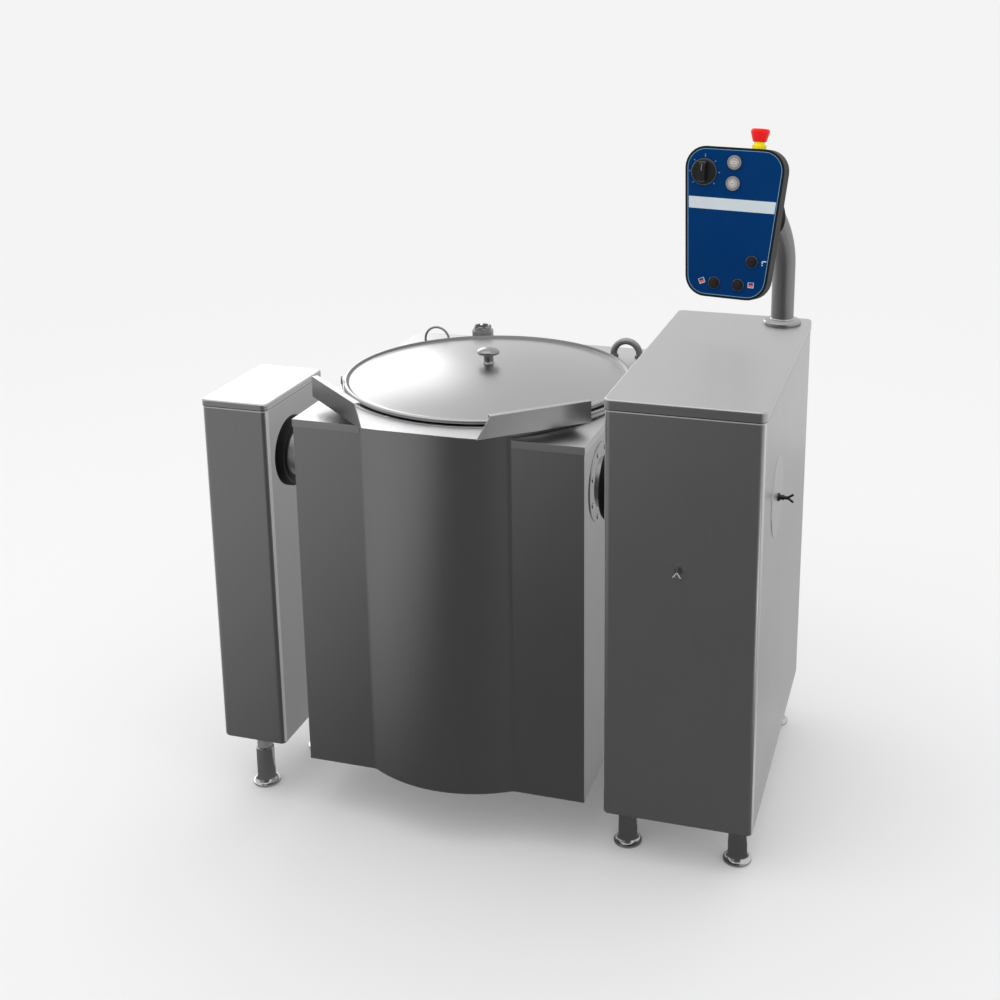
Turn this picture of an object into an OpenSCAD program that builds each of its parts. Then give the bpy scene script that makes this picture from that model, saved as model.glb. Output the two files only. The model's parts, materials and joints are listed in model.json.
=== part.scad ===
// Tilting cooking kettle: a jacketed bowl in a sheet steel casing that hangs on two trunnions
// between a narrow left pillar and a wide right pillar, with a lift-off lid and a control panel
// on a bent post. X runs to the right, Y to the back and Z up; the feet stand on Z = 0.

/* [Casing] */
// Width of the kettle's casing
casing_w = 600; // [580:1:640]
// Distance between the rim and the casing's back
casing_back = 39; // [29:1:89]
// Height of the casing's lower edge above the floor
casing_bottom = 123; // [110:1:160]
// Height of the top plate above the floor
casing_top = 879; // [860:1:900]
// How far the casing's front stands before the pillars
casing_front = 6; // [0:1:15]
// Thickness of the sheet steel
sheet = 2; // [1.5:0.1:3]
// Radius of the round bulge in the casing's front
bulge_r = 290; // [270:1:300]
// How far the bulge stands out of the casing's front
bulge_out = 42; // [30:1:50]
// Radius of the hollow fillets beside the bulge
bulge_fillet = 22; // [10:1:28]
// Height of the edge folded down round the top plate
plate_fold = 16; // [10:1:25]
// How far a cover stands over the walls below it
overhang = 1.5; // [1:0.1:3]

/* [Vessel] */
// Distance of the bowl's axis behind the pillars' front
vessel_y = 312; // [306:1:330]
// Distance between the bowl's wall and the casing's side
bowl_side = 45; // [43:1:60]
// Wall of the bowl
bowl_wall = 3; // [2:0.5:4]
// Depth of the bowl's straight wall below the top plate
bowl_straight = 430; // [380:1:460]
// Depth of the bowl's rounded bottom
bowl_dish = 120; // [90:1:140]
// Gap between the bowl and the steam jacket
jacket_gap = 14; // [10:1:16]
// Wall of the steam jacket
jacket_wall = 3; // [2:0.5:4]
// Depth of the steam space under the bowl
sump_depth = 60; // [50:1:80]
// Thickness of the insulation round the jacket
insulation_t = 18; // [10:1:20]
// Height of the insulation
insulation_h = 300; // [200:1:330]

/* [Rim and spout] */
// Height of the neck between the top plate and the rim
neck_h = 9; // [6:1:14]
// Width of the rim
rim_w = 58; // [56:1:63]
// Thickness of the rim
rim_t = 4; // [3:0.5:6]
// How far the spout's front edge stands out of the rim
spout_out = 85.5; // [67:0.5:92]
// How far the plane of a wing stands out of the rim
wing_out = 62; // [52:0.5:72]
// Angle between a wing and the front
wing_angle = 41.5; // [38:0.5:45]
// Angle round the bowl's axis at which a wing ends
wing_end = 50.5; // [46:0.5:54]
// Rise of the spout's floor from the rim to its edge
spout_rise = 12; // [8:1:18]
// Height of a wing
wing_h = 43; // [30:1:55]
// Width of the hem folded inwards along a wing's top
wing_hem = 13; // [8:1:18]
// How far a wing's front end leans back
wing_lean = 29; // [15:1:35]

/* [Trunnions] */
// Distance of the tilting axis behind the pillars' front
axis_y = 100; // [97:1:110]
// Height of the tilting axis above the floor
axis_z = 771; // [755:1:780]
// Outer radius of the trunnion pipes
pipe_r = 50; // [46:1:52]
// Wall of the trunnion pipes
pipe_wall = 6; // [4:0.5:8]
// Outer radius of the flange rings on the casing
flange_r = 79; // [76:1:84]
// Thickness of the flange rings
flange_t = 4; // [3:0.5:6]
// Number of screws in a flange ring
flange_screw_count = 8; // [6:1:10]
// Outer radius of the rubber seals on the pillars
seal_r = 73.5; // [70:0.5:78]
// Depth of the rubber seals
seal_d = 18; // [12:1:22]
// Length of the bearings
bearing_l = 40; // [30:1:45]
// Radial clearance of a turning shaft
running_fit = 0.05; // [0.02:0.01:0.1]
// Gap between pieces that move past each other
free_gap = 0.3; // [0.3:0.1:0.5]

/* [Tilt drive] */
// Module of the gear teeth
gear_module = 5; // [5:1:5]
// Teeth that the toothed sector would have all round
sector_teeth = 60; // [60:1:60]
// Teeth of the pinion
pinion_teeth = 18; // [18:1:18]
// Width of the gears
gear_w = 22; // [16:1:26]
// Play between the teeth
backlash = 0.5; // [0.4:0.1:0.8]
// Direction of the pinion seen from the tilting axis
pinion_dir = -8; // [-12:1:-4]
// Largest tilt of the kettle in degrees
tilt_max = 95; // [90:1:95]

/* [Pillars] */
// Gap between the casing and the left pillar
left_gap = 62; // [55:1:70]
// Gap between the casing and the right pillar
right_gap = 35; // [30:1:45]
// Width of the left pillar
left_w = 145; // [140:1:160]
// Depth of the left pillar
left_d = 256; // [240:1:280]
// Height of the left pillar's bottom above the floor
left_bottom = 137; // [125:1:150]
// Height of the left pillar's top above the floor
left_top = 900; // [890:1:930]
// Width of the right pillar
right_w = 303; // [290:1:330]
// Depth of the right pillar
right_d = 682; // [650:1:720]
// Height of the right pillar's bottom above the floor
right_bottom = 101; // [96:1:125]
// Height of the right pillar's top above the floor
right_top = 975; // [960:1:1000]
// Rounding of the pillars' upright edges
pillar_r = 13; // [8:1:16]
// Rounding of the pillars' bottom edges
base_r = 8; // [5:1:8]
// Rounding of the covers' top edges
cover_r = 4; // [3:0.5:5]
// Height of the right pillar's cover
right_cover_h = 21; // [15:1:30]
// Height of the left pillar's cover
left_cover_h = 14; // [10:1:20]
// Thickness of the frame plates in the pillars
frame_t = 8; // [6:1:10]

/* [Feet] */
// Radius of a foot's disc
foot_disc_r = 29; // [26:1:32]
// Radius of a foot's sleeve
foot_r = 19.5; // [18:0.5:21]
// Height of a foot
foot_h = 90; // [80:1:92]
// Radius of the leg tubes
leg_r = 16.5; // [14:0.5:17]
// Distance of the right pillar's feet from its sides
foot_inset_x = 38; // [32:1:50]
// Distance of the right pillar's feet from its front and back
foot_inset_y = 68; // [50:1:80]
// Distance of the left pillar's front foot from its front and outer side
left_foot_inset = 62; // [50:1:70]
// Distance of the left pillar's rear foot from its back and inner side
left_foot_rear_inset = 31; // [30:1:40]

/* [Lid] */
// How far the lid's edge lies inside the rim's edge
lid_inset = 7; // [5:1:9]
// Radius of the rolled edge's section
bead_r = 3.5; // [3:0.1:4]
// Width of the flat ring outside the dome
lid_flat = 13; // [10:1:16]
// Height of the dome
dome_h = 29; // [24:1:36]
// Radius of the lid's knob
lid_knob_r = 23; // [20:1:26]
// Height of the lid's knob
lid_knob_h = 37; // [32:1:42]

/* [Control panel] */
// Radius of the post
post_r = 25; // [22:1:27]
// Height of the post's straight part above the cover
post_straight = 130; // [110:1:150]
// Radius of the post's bend
post_bend_r = 200; // [190:1:215]
// Width of the panel at the top
panel_top_w = 230; // [220:1:240]
// Width of the panel at the bottom
panel_bottom_w = 178; // [170:1:190]
// Height of the panel
panel_h = 323; // [315:1:335]
// Thickness of the panel
panel_t = 40; // [36:1:46]
// Rounding of the panel's corners
panel_r = 46; // [40:1:50]
// Turn of the panel towards the kettle
panel_yaw = 9.4; // [5:0.1:12]
// Lean of the panel to the back
panel_lean = 9.1; // [5:0.1:12]
// Radius of the heat knob
knob_r = 28.5; // [26:0.5:31]
// Radius of the grey push buttons
grey_r = 15.5; // [14:0.5:17]
// Radius of the black push buttons
black_r = 12.8; // [11:0.2:14]
// Travel of the push buttons
button_travel = 1.5; // [1:0.1:2]
// Radius of the stop button's head
stop_r = 20.5; // [18:0.5:23]
// Travel of the stop button
stop_travel = 4; // [3:0.5:5]

/* [Fittings] */
// Radius of the round cover on the right pillar's side
disc_r = 80; // [70:1:90]
// Length of the fork hooks
hook_l = 33; // [28:1:38]
// Radius of the rear loop's rod
loop_rod_r = 2.7; // [2.2:0.1:3.5]
// Radius of the rear loop
loop_r = 29.5; // [25:0.5:33]
// Radius of the filling stub
stub_r = 25; // [22:1:25]
// Bore radius of the filling stub
stub_bore_r = 15; // [12:1:16]
// Height of the filling stub
stub_h = 28; // [20:1:36]
// Outer radius of the notched crown on the filling stub
crown_r = 20; // [19:0.5:22]
// Radius of the vent pipe
vent_r = 7.5; // [6:0.5:9]
// Bore radius of the cable gland
gland_bore_r = 9; // [7:0.5:10]

/* [Hidden] */
$fn = 64;

// Places worked out from the sizes above
half_w = casing_w / 2;
bowl_r = half_w - bowl_side;
rim_r = bowl_r + rim_w;
spout_reach = rim_r + spout_out;
wing_reach = rim_r + wing_out;
lid_r = rim_r - lid_inset;
casing_d = casing_front + vessel_y + rim_r + casing_back;
front_y = -casing_front;
back_y = front_y + casing_d;
bulge_y = front_y - bulge_out + bulge_r;
bulge_half = sqrt(bulge_r * bulge_r - pow(bulge_y - front_y, 2));
fillet_y = front_y - bulge_fillet;
fillet_x = sqrt(pow(bulge_r + bulge_fillet, 2) - pow(bulge_y - fillet_y, 2));
left_x1 = -half_w - left_gap;
left_x0 = left_x1 - left_w;
right_x0 = half_w + right_gap;
right_x1 = right_x0 + right_w;
rim_z = casing_top + neck_h;
rim_top = rim_z + rim_t;
spout_z = rim_top + spout_rise;
bowl_out = bowl_r + bowl_wall;
jacket_in = bowl_out + jacket_gap;
jacket_out = jacket_in + jacket_wall;
straight_z = casing_top - bowl_straight;
jacket_bottom = straight_z - bowl_dish - bowl_wall - sump_depth;
lid_z = rim_top + free_gap;
flange_z = lid_z + 2 * bead_r - 0.5;
dome_z = flange_z + dome_h;
knob_top = dome_z + lid_knob_h;
hook_reach = hook_l;

// The whole object is centred on its base
mid_x = (left_x0 - overhang + right_x1 + hook_reach) / 2;
mid_y = (vessel_y - spout_reach + right_d + overhang) / 2;

// Panel: the centre of its front face, and the place of each control on it
panel_centre = [right_x0 + 136.5, 540, right_top + 236];
panel_wall = 3;
face_inset = 5;
face_t = 1.2;
knob_at = [-67, 106];
light_at = [0, 129.5];
power_at = [0, 85];
water_at = [56, -78];
tilt_up_at = [-25, -130];
tilt_down_at = [29, -130];
stop_x = 45;
stop_depth = 20;

// Post: its foot, and the direction of its bend
post_x = right_x0 + 244;
post_y = 628;
post_dir = 230;
post_bend = 46;
post_z = right_top + post_straight;

// Places of the small fittings
disc_y = 190;
disc_z = 740;
front_hook_x = right_x0 + 148;
front_hook_z = 650;
loop_x = -half_w + 76;
loop_y = back_y - 79;
stub_gap = 4;
stub_x = -half_w + 174;
stub_y = vessel_y + sqrt(pow(rim_r + stub_gap + stub_r, 2) - stub_x * stub_x);
vent_x = half_w - 66;
vent_y = back_y - 74;
vent_span = 30;
vent_leg = 8;
loop_leg = 9;
rim_fork_angle = 67;
rim_fork_r = 2;
rim_fork_h = 16;

// Boxes and rings that many pieces share
module at_home() {
    translate([-mid_x, -mid_y, 0]) children();
}

module on_x(x, y, z) {
    translate([x, y, z]) rotate([90, 0, 90]) children();
}

module ring(r_out, r_in, h) {
    difference() {
        cylinder(r = r_out, h = h);
        translate([0, 0, -1]) cylinder(r = r_in, h = h + 2);
    }
}

module round_rect(w, d, r) {
    translate([r, 0]) square([w - 2 * r, d]);
    translate([0, r]) square([w, d - 2 * r]);
    for (x = [r, w - r], y = [r, d - r]) translate([x, y]) circle(r = r);
}

// Sections whose lower corners are rounded in small steps
edge_steps = 5;

function quarter(x, y, r, from) = [for (i = [0 : edge_steps]) let (a = from + 90 * i / edge_steps)
    [x + r * cos(a), y + r * sin(a)]];

module trough(w, edge) {
    polygon(concat(quarter(edge, edge, edge, 180), quarter(w - edge, edge, edge, 270)));
}

// A box with rounded upright edges and a rounded lower edge
module soft_box(w, d, h, r, edge) {
    translate([0, 0, edge]) linear_extrude(h - edge) round_rect(w, d, r);
    translate([r, 0, 0]) rotate([90, 0, 90]) linear_extrude(w - 2 * r) trough(d, edge);
    translate([0, d - r, 0]) rotate([90, 0, 0]) linear_extrude(d - 2 * r) trough(w, edge);
    for (x = [r, w - r], y = [r, d - r]) translate([x, y, 0]) rotate_extrude()
        polygon(concat([[0, 0]], quarter(r - edge, edge, edge, 270), [[0, edge]]));
}

module soft_shell(w, d, h, r, edge) {
    difference() {
        soft_box(w, d, h, r, edge);
        translate([sheet, sheet, sheet])
            soft_box(w - 2 * sheet, d - 2 * sheet, h, r - sheet, edge - sheet);
    }
}

// Pillar housings, their covers and what stands in them
leg_plate_r = leg_r + 6;
leg_plate_t = 6;
shaft_hole_r = pipe_r + 5;

function right_feet() = [
    [right_x1 - foot_inset_x, foot_inset_y], [right_x0 + foot_inset_x, foot_inset_y],
    [right_x1 - foot_inset_x, right_d - foot_inset_y], [right_x0 + foot_inset_x, right_d - foot_inset_y]];

function left_feet() = [
    [left_x0 + left_foot_inset, left_foot_inset],
    [left_x1 - left_foot_rear_inset, left_d - left_foot_rear_inset]];

module foot_holes(feet) {
    for (p = feet) translate([p[0], p[1], 0]) cylinder(r = leg_r, h = right_bottom + left_bottom);
}

gland_x = right_x0 + right_w / 2;
gland_y = right_d - 80;
gland_r = 17;
gland_nut_r = 20;

module right_housing() {
    color("dimgray") at_home() difference() {
        translate([right_x0, 0, right_bottom])
            soft_shell(right_w, right_d, right_top - right_bottom - sheet, pillar_r, base_r);
        foot_holes(right_feet());
        on_x(right_x0 - 1, axis_y, axis_z) cylinder(r = shaft_hole_r, h = sheet + 2);
        on_x(right_x1 - sheet - 1, disc_y, disc_z) cylinder(r = disc_r - 15, h = sheet + 2);
        translate([gland_x, gland_y, right_bottom - 1]) cylinder(r = gland_r - 3, h = sheet + 2);
        translate([front_hook_x, -1, front_hook_z]) rotate([-90, 0, 0])
            cylinder(r = hook_stem_r, h = sheet + 2);
    }
}

module pillar_cover(x, w, d, top, h) {
    o = overhang;
    color("silver") at_home() translate([x - o, -o, top]) mirror([0, 0, 1]) difference() {
        soft_box(w + 2 * o, d + 2 * o, h, pillar_r + o, cover_r);
        translate([o, o, sheet]) linear_extrude(h) round_rect(w, d, pillar_r);
    }
}

module right_cover() {
    difference() {
        pillar_cover(right_x0, right_w, right_d, right_top, right_cover_h);
        at_home() translate([post_x, post_y, right_top - sheet - 1]) cylinder(r = post_r, h = sheet + 2);
    }
}

module left_cover() {
    pillar_cover(left_x0, left_w, left_d, left_top, left_cover_h);
}

module left_housing() {
    color("dimgray") at_home() difference() {
        translate([left_x0, 0, left_bottom])
            soft_shell(left_w, left_d, left_top - left_bottom - sheet, pillar_r, base_r);
        foot_holes(left_feet());
        on_x(left_x1 - sheet - 1, axis_y, axis_z) cylinder(r = shaft_hole_r, h = sheet + 2);
    }
}

// Frame plates: upright plates that carry the bearings, with a foot on the housing's floor
frame_y0 = sheet + pillar_r;
right_frame_y1 = 410;
left_frame_y1 = 190;
frame_foot = 50;
frame_foot_y = 95;
frame_window_r = 45;
gusset = 40;

module frame_plate(depth, base_z) {
    height = axis_z + 110 - base_z;
    edge = base_r - sheet;
    difference() {
        union() {
            cube([frame_t, depth, height]);
            translate([0, frame_foot_y - frame_y0, 0])
                cube([frame_foot, depth - frame_foot_y + frame_y0, frame_t]);
        }
        translate([-1, axis_y - frame_y0, axis_z - base_z]) rotate([90, 0, 90])
            cylinder(r = shaft_hole_r - 2, h = frame_t + 2);
        for (z = [110 : 160 : height - 330]) translate([-1, depth / 2, z]) rotate([90, 0, 90])
            cylinder(r = frame_window_r, h = frame_t + 2);
        translate([0, depth + 1, 0]) rotate([90, 0, 0]) linear_extrude(depth + 2)
            polygon([[-1, -1], [edge + 1, -1], [-1, edge + 1]]);
    }
    for (y = [frame_foot_y - frame_y0, depth - frame_t]) translate([frame_t, y, frame_t]) rotate([90, 0, 0])
        translate([0, 0, -frame_t]) linear_extrude(frame_t) polygon([[0, 0], [gusset, 0], [0, gusset]]);
}

module right_frame() {
    color("slategray") at_home() translate([right_x0 + sheet, frame_y0, right_bottom + sheet])
        frame_plate(right_frame_y1 - frame_y0, right_bottom + sheet);
}

module left_frame() {
    color("slategray") at_home() translate([left_x1 - sheet, frame_y0, left_bottom + sheet])
        mirror([1, 0, 0]) frame_plate(left_frame_y1 - frame_y0, left_bottom + sheet);
}

// Flange bearings: their backs sit on the frame plates
bearing_flange_t = 14;
bearing_barrel_r = pipe_r + 18;

module flange_bearing() {
    difference() {
        union() {
            cylinder(r = seal_r + 10, h = bearing_flange_t);
            cylinder(r = bearing_barrel_r, h = bearing_l);
            for (a = [45 : 90 : 315]) rotate([0, 0, a]) translate([seal_r - 0.5, 0, 0])
                cylinder(r = 8, h = bearing_flange_t + 7);
        }
        translate([0, 0, -1]) cylinder(r = pipe_r + running_fit, h = bearing_l + 2);
    }
}

right_bearing_x = right_x0 + sheet + frame_t;
left_bearing_x = left_x1 - sheet - frame_t;

module right_bearing() {
    color("darkslategray") at_home() on_x(right_bearing_x, axis_y, axis_z) flange_bearing();
}

module left_bearing() {
    color("darkslategray") at_home() on_x(left_bearing_x, axis_y, axis_z) mirror([0, 0, 1]) flange_bearing();
}

// Rubber seals round the pipes, on the pillars' walls
module seal() {
    rotate_extrude() difference() {
        polygon([[pipe_r + free_gap, 0], [seal_r, 0], [seal_r, seal_d - 4], [seal_r - 4, seal_d],
            [pipe_r + free_gap, seal_d]]);
        translate([(pipe_r + seal_r) / 2, seal_d]) circle(r = 5);
    }
}

module right_seal() {
    color("black") at_home() on_x(right_x0, axis_y, axis_z) mirror([0, 0, 1]) seal();
}

module left_seal() {
    color("black") at_home() on_x(left_x1, axis_y, axis_z) seal();
}

// Legs: a tube with a plate above the housing's floor; the feet screw onto the tubes
leg_low = 40;

module legs(feet, base_z) {
    color("gainsboro") at_home() for (p = feet) translate([p[0], p[1], 0]) {
        translate([0, 0, leg_low]) cylinder(r = leg_r, h = base_z + sheet - leg_low);
        translate([0, 0, base_z + sheet]) cylinder(r = leg_plate_r, h = leg_plate_t);
    }
}

module right_legs() {
    legs(right_feet(), right_bottom);
}

module left_legs() {
    legs(left_feet(), left_bottom);
}

module foot(p) {
    flare = foot_disc_r - foot_r;
    color("silver") at_home() translate([p[0], p[1], 0]) rotate_extrude() difference() {
        polygon(concat([[0, 0], [foot_disc_r - 2, 0], [foot_disc_r, 2], [foot_disc_r, 6]],
            [for (a = [0 : 15 : 90]) [foot_disc_r - flare * sin(a), 6 + 1.4 * flare * (1 - cos(a))]],
            [[foot_r, foot_h - 2], [foot_r - 2, foot_h], [0, foot_h]]));
        translate([0, leg_low - 4]) square([leg_r, foot_h]);
    }
}

module foot_front_outer() {
    foot(right_feet()[0]);
}

module foot_front_inner() {
    foot(right_feet()[1]);
}

module foot_rear_outer() {
    foot(right_feet()[2]);
}

module foot_rear_inner() {
    foot(right_feet()[3]);
}

module foot_left_front() {
    foot(left_feet()[0]);
}

module foot_left_rear() {
    foot(left_feet()[1]);
}

// Involute teeth: half the angle of a tooth at a radius, and the outline of a run of teeth
pressure = 20;
tip_factor = 1;
root_factor = 1.25;
flank_steps = 5;

function inv_deg(a) = tan(a) * 180 / PI - a;

function base_radius(teeth) = gear_module * teeth / 2 * cos(pressure);

function half_tooth(r, teeth) = 90 / teeth - backlash / (gear_module * teeth) * 90 / PI
    + inv_deg(pressure) - inv_deg(acos(min(1, base_radius(teeth) / r)));

function flank_radii(teeth) = let (
        root = gear_module * (teeth / 2 - root_factor),
        start = max(root, base_radius(teeth)),
        tip = gear_module * (teeth / 2 + tip_factor))
    concat(root < start ? [root] : [], [for (i = [0 : flank_steps]) start + (tip - start) * i / flank_steps]);

function on_circle(r, a) = [r * cos(a), r * sin(a)];

function tooth_points(teeth, a) = let (radii = flank_radii(teeth), n = len(radii) - 1) concat(
    [for (i = [0 : n]) on_circle(radii[i], a - half_tooth(radii[i], teeth))],
    [for (i = [n : -1 : 0]) on_circle(radii[i], a + half_tooth(radii[i], teeth))]);

function teeth_outline(teeth, first, count) = [for (k = [0 : count - 1])
    each tooth_points(teeth, first + k * 360 / teeth)];

sector_r = gear_module * sector_teeth / 2;
pinion_pitch_r = gear_module * pinion_teeth / 2;
sector_pitch_angle = 360 / sector_teeth;
sector_before = ceil((tilt_max + 10) / sector_pitch_angle);
sector_count = sector_before + 2;
sector_first = pinion_dir + sector_pitch_angle / 2 - sector_before * sector_pitch_angle;
sector_last = sector_first + (sector_count - 1) * sector_pitch_angle;
pinion_y = axis_y + (sector_r + pinion_pitch_r) * cos(pinion_dir);
pinion_z = axis_z + (sector_r + pinion_pitch_r) * sin(pinion_dir);
gear_x = right_bearing_x + bearing_l + 15;
sector_hub_r = pipe_r + 16;
bracket_x = gear_x + gear_w + 8;

module sector_window(from, to, r_in, r_out) {
    polygon(concat([for (a = [from : 4 : to]) on_circle(r_out, a)],
        [for (a = [to : -4 : from]) on_circle(r_in, a)]));
}

module sector_gear() {
    span = sector_last - sector_first;
    color("goldenrod") at_home() on_x(gear_x, axis_y, axis_z) difference() {
        union() {
            linear_extrude(gear_w) difference() {
                polygon(concat([[0, 0]], teeth_outline(sector_teeth, sector_first, sector_count)));
                for (k = [0 : 2]) sector_window(sector_first + 5 + k * span / 3,
                    sector_first + span / 3 - 5 + k * span / 3, sector_hub_r + 12, sector_r - 25);
            }
            translate([0, 0, -10]) cylinder(r = sector_hub_r, h = gear_w + 15);
        }
        translate([0, 0, -11]) cylinder(r = pipe_r, h = gear_w + 20);
    }
}

pinion_shaft_r = 14;
gearbox_x = bracket_x + frame_t;
gearbox_l = 90;

module pinion() {
    color("goldenrod") at_home() on_x(gear_x, pinion_y, pinion_z) {
        linear_extrude(gear_w) polygon(teeth_outline(pinion_teeth, pinion_dir + 180, pinion_teeth));
        translate([0, 0, -10]) cylinder(r = pinion_shaft_r, h = gearbox_x - gear_x + gearbox_l + 14);
    }
}

// Bracket: a plate on four spacers that stand on the right frame, clear of the gears
bracket_y0 = 246;
bracket_y1 = 404;
bracket_below = 112;
bracket_above = 126;
bracket_z0 = pinion_z - bracket_below;
bracket_z1 = pinion_z + bracket_above;
spacer_r = 8;
spacer_inset = 14;

module motor_bracket() {
    reach = bracket_x - right_bearing_x;
    color("slategray") at_home() {
        difference() {
            translate([bracket_x, bracket_y0, bracket_z0])
                cube([frame_t, bracket_y1 - bracket_y0, bracket_z1 - bracket_z0]);
            on_x(bracket_x - 1, pinion_y, pinion_z) cylinder(r = pinion_shaft_r + 6, h = frame_t + 2);
        }
        for (y = [bracket_y0 + spacer_inset, bracket_y1 - spacer_inset],
                z = [bracket_z0 + spacer_inset, bracket_z1 - spacer_inset])
            on_x(right_bearing_x, y, z) cylinder(r = spacer_r, h = reach);
    }
}

motor_r = 55;
motor_l = 190;
motor_fin = 7;
motor_x = gearbox_x + motor_r + motor_fin + 1;

module gearmotor() {
    box = 110;
    color("steelblue") at_home() difference() {
        union() {
            translate([gearbox_x, pinion_y - box / 2, pinion_z - box / 2]) cube([gearbox_l, box, box]);
            translate([motor_x, pinion_y, pinion_z - box / 2 - motor_l]) {
                cylinder(r = motor_r, h = motor_l);
                for (a = [0 : 20 : 340]) rotate([0, 0, a]) translate([motor_r - 2, -1.5, 12])
                    cube([motor_fin + 2, 3, motor_l - 40]);
            }
            translate([gearbox_x + gearbox_l / 2 - 10, pinion_y - box / 2 - 26, pinion_z - 40])
                cube([50, 28, 80]);
        }
        on_x(gearbox_x - 1, pinion_y, pinion_z) cylinder(r = pinion_shaft_r + running_fit, h = gearbox_l + 2);
    }
}

module cable_gland() {
    color("gray") at_home() translate([gland_x, gland_y, right_bottom]) difference() {
        union() {
            translate([0, 0, -12]) cylinder(r = gland_nut_r, h = 12, $fn = 6);
            rotate_extrude()
                polygon([[0, -26], [gland_r - 5, -26], [gland_r, -18], [gland_r, -12], [0, -12]]);
            translate([0, 0, -1]) cylinder(r = gland_r - 3, h = 1 + sheet);
            translate([0, 0, sheet]) cylinder(r = gland_nut_r, h = 7, $fn = 6);
        }
        translate([0, 0, -27]) cylinder(r = gland_bore_r, h = 27 + sheet + 8);
    }
}

// Round side cover and the fork hooks
disc_t = 2;
hook_stem_r = 3.5;
hook_base_r = 8;
hook_base_t = 4;
prong_r = 2.4;

fork_start = 0.6;
prong_share = 0.4;

module fork_hook(reach, spread, droop) {
    length = (reach - prong_r) / (fork_start + prong_share * cos(spread));
    prong_l = length * prong_share;
    cylinder(r = hook_base_r, h = hook_base_t);
    cylinder(r = hook_stem_r + 1.5, h = length * fork_start - 6);
    cylinder(r = hook_stem_r, h = length * fork_start + 1);
    translate([0, 0, length * fork_start]) rotate([0, -droop, 0]) for (a = [-spread, spread])
        rotate([a, 0, 0]) {
            cylinder(r = prong_r, h = prong_l);
            translate([0, 0, prong_l]) sphere(r = prong_r);
        }
}

module side_plate() {
    color("silver") at_home() difference() {
        on_x(right_x1, disc_y, disc_z) rotate_extrude() polygon([[0, 0], [disc_r, 0],
            [disc_r - 1, disc_t - 0.4], [disc_r - 5, disc_t], [0, disc_t]]);
        on_x(right_x1 - 1, disc_y, disc_z) cylinder(r = hook_stem_r, h = disc_t + 2);
    }
}

// The side hook's reach is hook_l, measured from the pillar's wall to the prongs' tips
module side_hook() {
    color("silver") at_home() on_x(right_x1 + disc_t, disc_y, disc_z) {
        translate([0, 0, -disc_t]) cylinder(r = hook_stem_r, h = disc_t);
        fork_hook(hook_l - disc_t, 35, 0);
    }
}

module front_hook() {
    color("silver") at_home() translate([front_hook_x, 0, front_hook_z]) rotate([90, 0, 0]) {
        translate([0, 0, -sheet]) cylinder(r = hook_stem_r, h = sheet);
        rotate([0, 0, 90]) fork_hook(hook_l * 0.8, 38, 55);
    }
}

// Post: a round flange on the cover, an upright tube and a bend that ends at the panel's back
post_flange_r = 42;
post_flange_t = 12;

far = 400;

module panel_frame() {
    at_home() translate(panel_centre) rotate([90 - panel_lean, 0, -panel_yaw]) children();
}

module post_flange() {
    color("silver") at_home() translate([post_x, post_y, right_top]) rotate_extrude()
        polygon(concat([[post_r, 0], [post_flange_r, 0]],
            [for (a = [0 : 15 : 90]) [post_flange_r - 5 + 5 * cos(a), 4 + 5 * sin(a)]],
            [[post_r + 6, post_flange_t - 2], [post_r, post_flange_t]]));
}

module bend_at(r) {
    translate([post_x, post_y, post_z]) rotate([0, 0, post_dir]) translate([post_bend_r, 0, 0])
        rotate([90, 0, 0]) rotate([0, 0, 180 - post_bend]) rotate_extrude(angle = post_bend, $fn = 96)
        translate([post_bend_r, 0]) circle(r = r);
}

module control_post() {
    color("gray") difference() {
        at_home() union() {
            translate([post_x, post_y, right_top - sheet]) cylinder(r = post_r, h = post_straight + sheet);
            translate([post_x, post_y, post_z - post_r]) cylinder(r = post_r - 5, h = post_r + 5);
            bend_at(post_r);
        }
        panel_frame() translate([-far, -far, -panel_t]) cube(2 * far);
    }
}

// Outline of the panel: four round corners on straight, tapering sides
taper = atan((panel_top_w - panel_bottom_w) / 2 / panel_h);
side_reach = panel_top_w / 2 * cos(taper) - panel_h / 2 * sin(taper);

function corner_x(y) = (side_reach - panel_r + y * sin(taper)) / cos(taper);

function corner_arc(x, y, r, from, to) = [for (i = [0 : 8]) let (a = from + (to - from) * i / 8)
    [x + r * cos(a), y + r * sin(a)]];

function panel_outline(inset) = let (
        y = panel_h / 2 - panel_r,
        r = panel_r - inset)
    concat(corner_arc(corner_x(-y), -y, r, -90, -taper), corner_arc(corner_x(y), y, r, -taper, 90),
        corner_arc(-corner_x(y), y, r, 90, 180 + taper), corner_arc(-corner_x(-y), -y, r, 180 + taper, 270));

module panel_slab(inset, z, h) {
    translate([0, 0, z]) linear_extrude(h) polygon(panel_outline(inset));
}

knob_shaft_r = 5;
stop_stem_r = 6;
back_edge = 5;
socket_r = post_r + 7;
socket_l = 20;

module panel_housing() {
    color([0.06, 0.06, 0.07]) {
        panel_frame() difference() {
            union() {
                panel_slab(0, back_edge - panel_t, panel_t - back_edge);
                panel_slab(2, -panel_t + 2, back_edge);
                panel_slab(back_edge, -panel_t, back_edge);
            }
            panel_slab(face_inset, -face_t, face_t + 1);
            panel_slab(panel_wall + back_edge, panel_wall - panel_t, panel_t - panel_wall - face_t + 0.1);
            translate([stop_x, panel_h / 2 - 20, -stop_depth]) rotate([-90, 0, 0])
                cylinder(r = stop_stem_r + free_gap, h = 40);
        }
        intersection() {
            difference() {
                at_home() bend_at(socket_r);
                at_home() bend_at(post_r);
            }
            panel_frame() translate([-far, -far, -panel_t - socket_l]) cube([2 * far, 2 * far, socket_l + 1]);
        }
    }
}

button_gap = 0.3;

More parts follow.
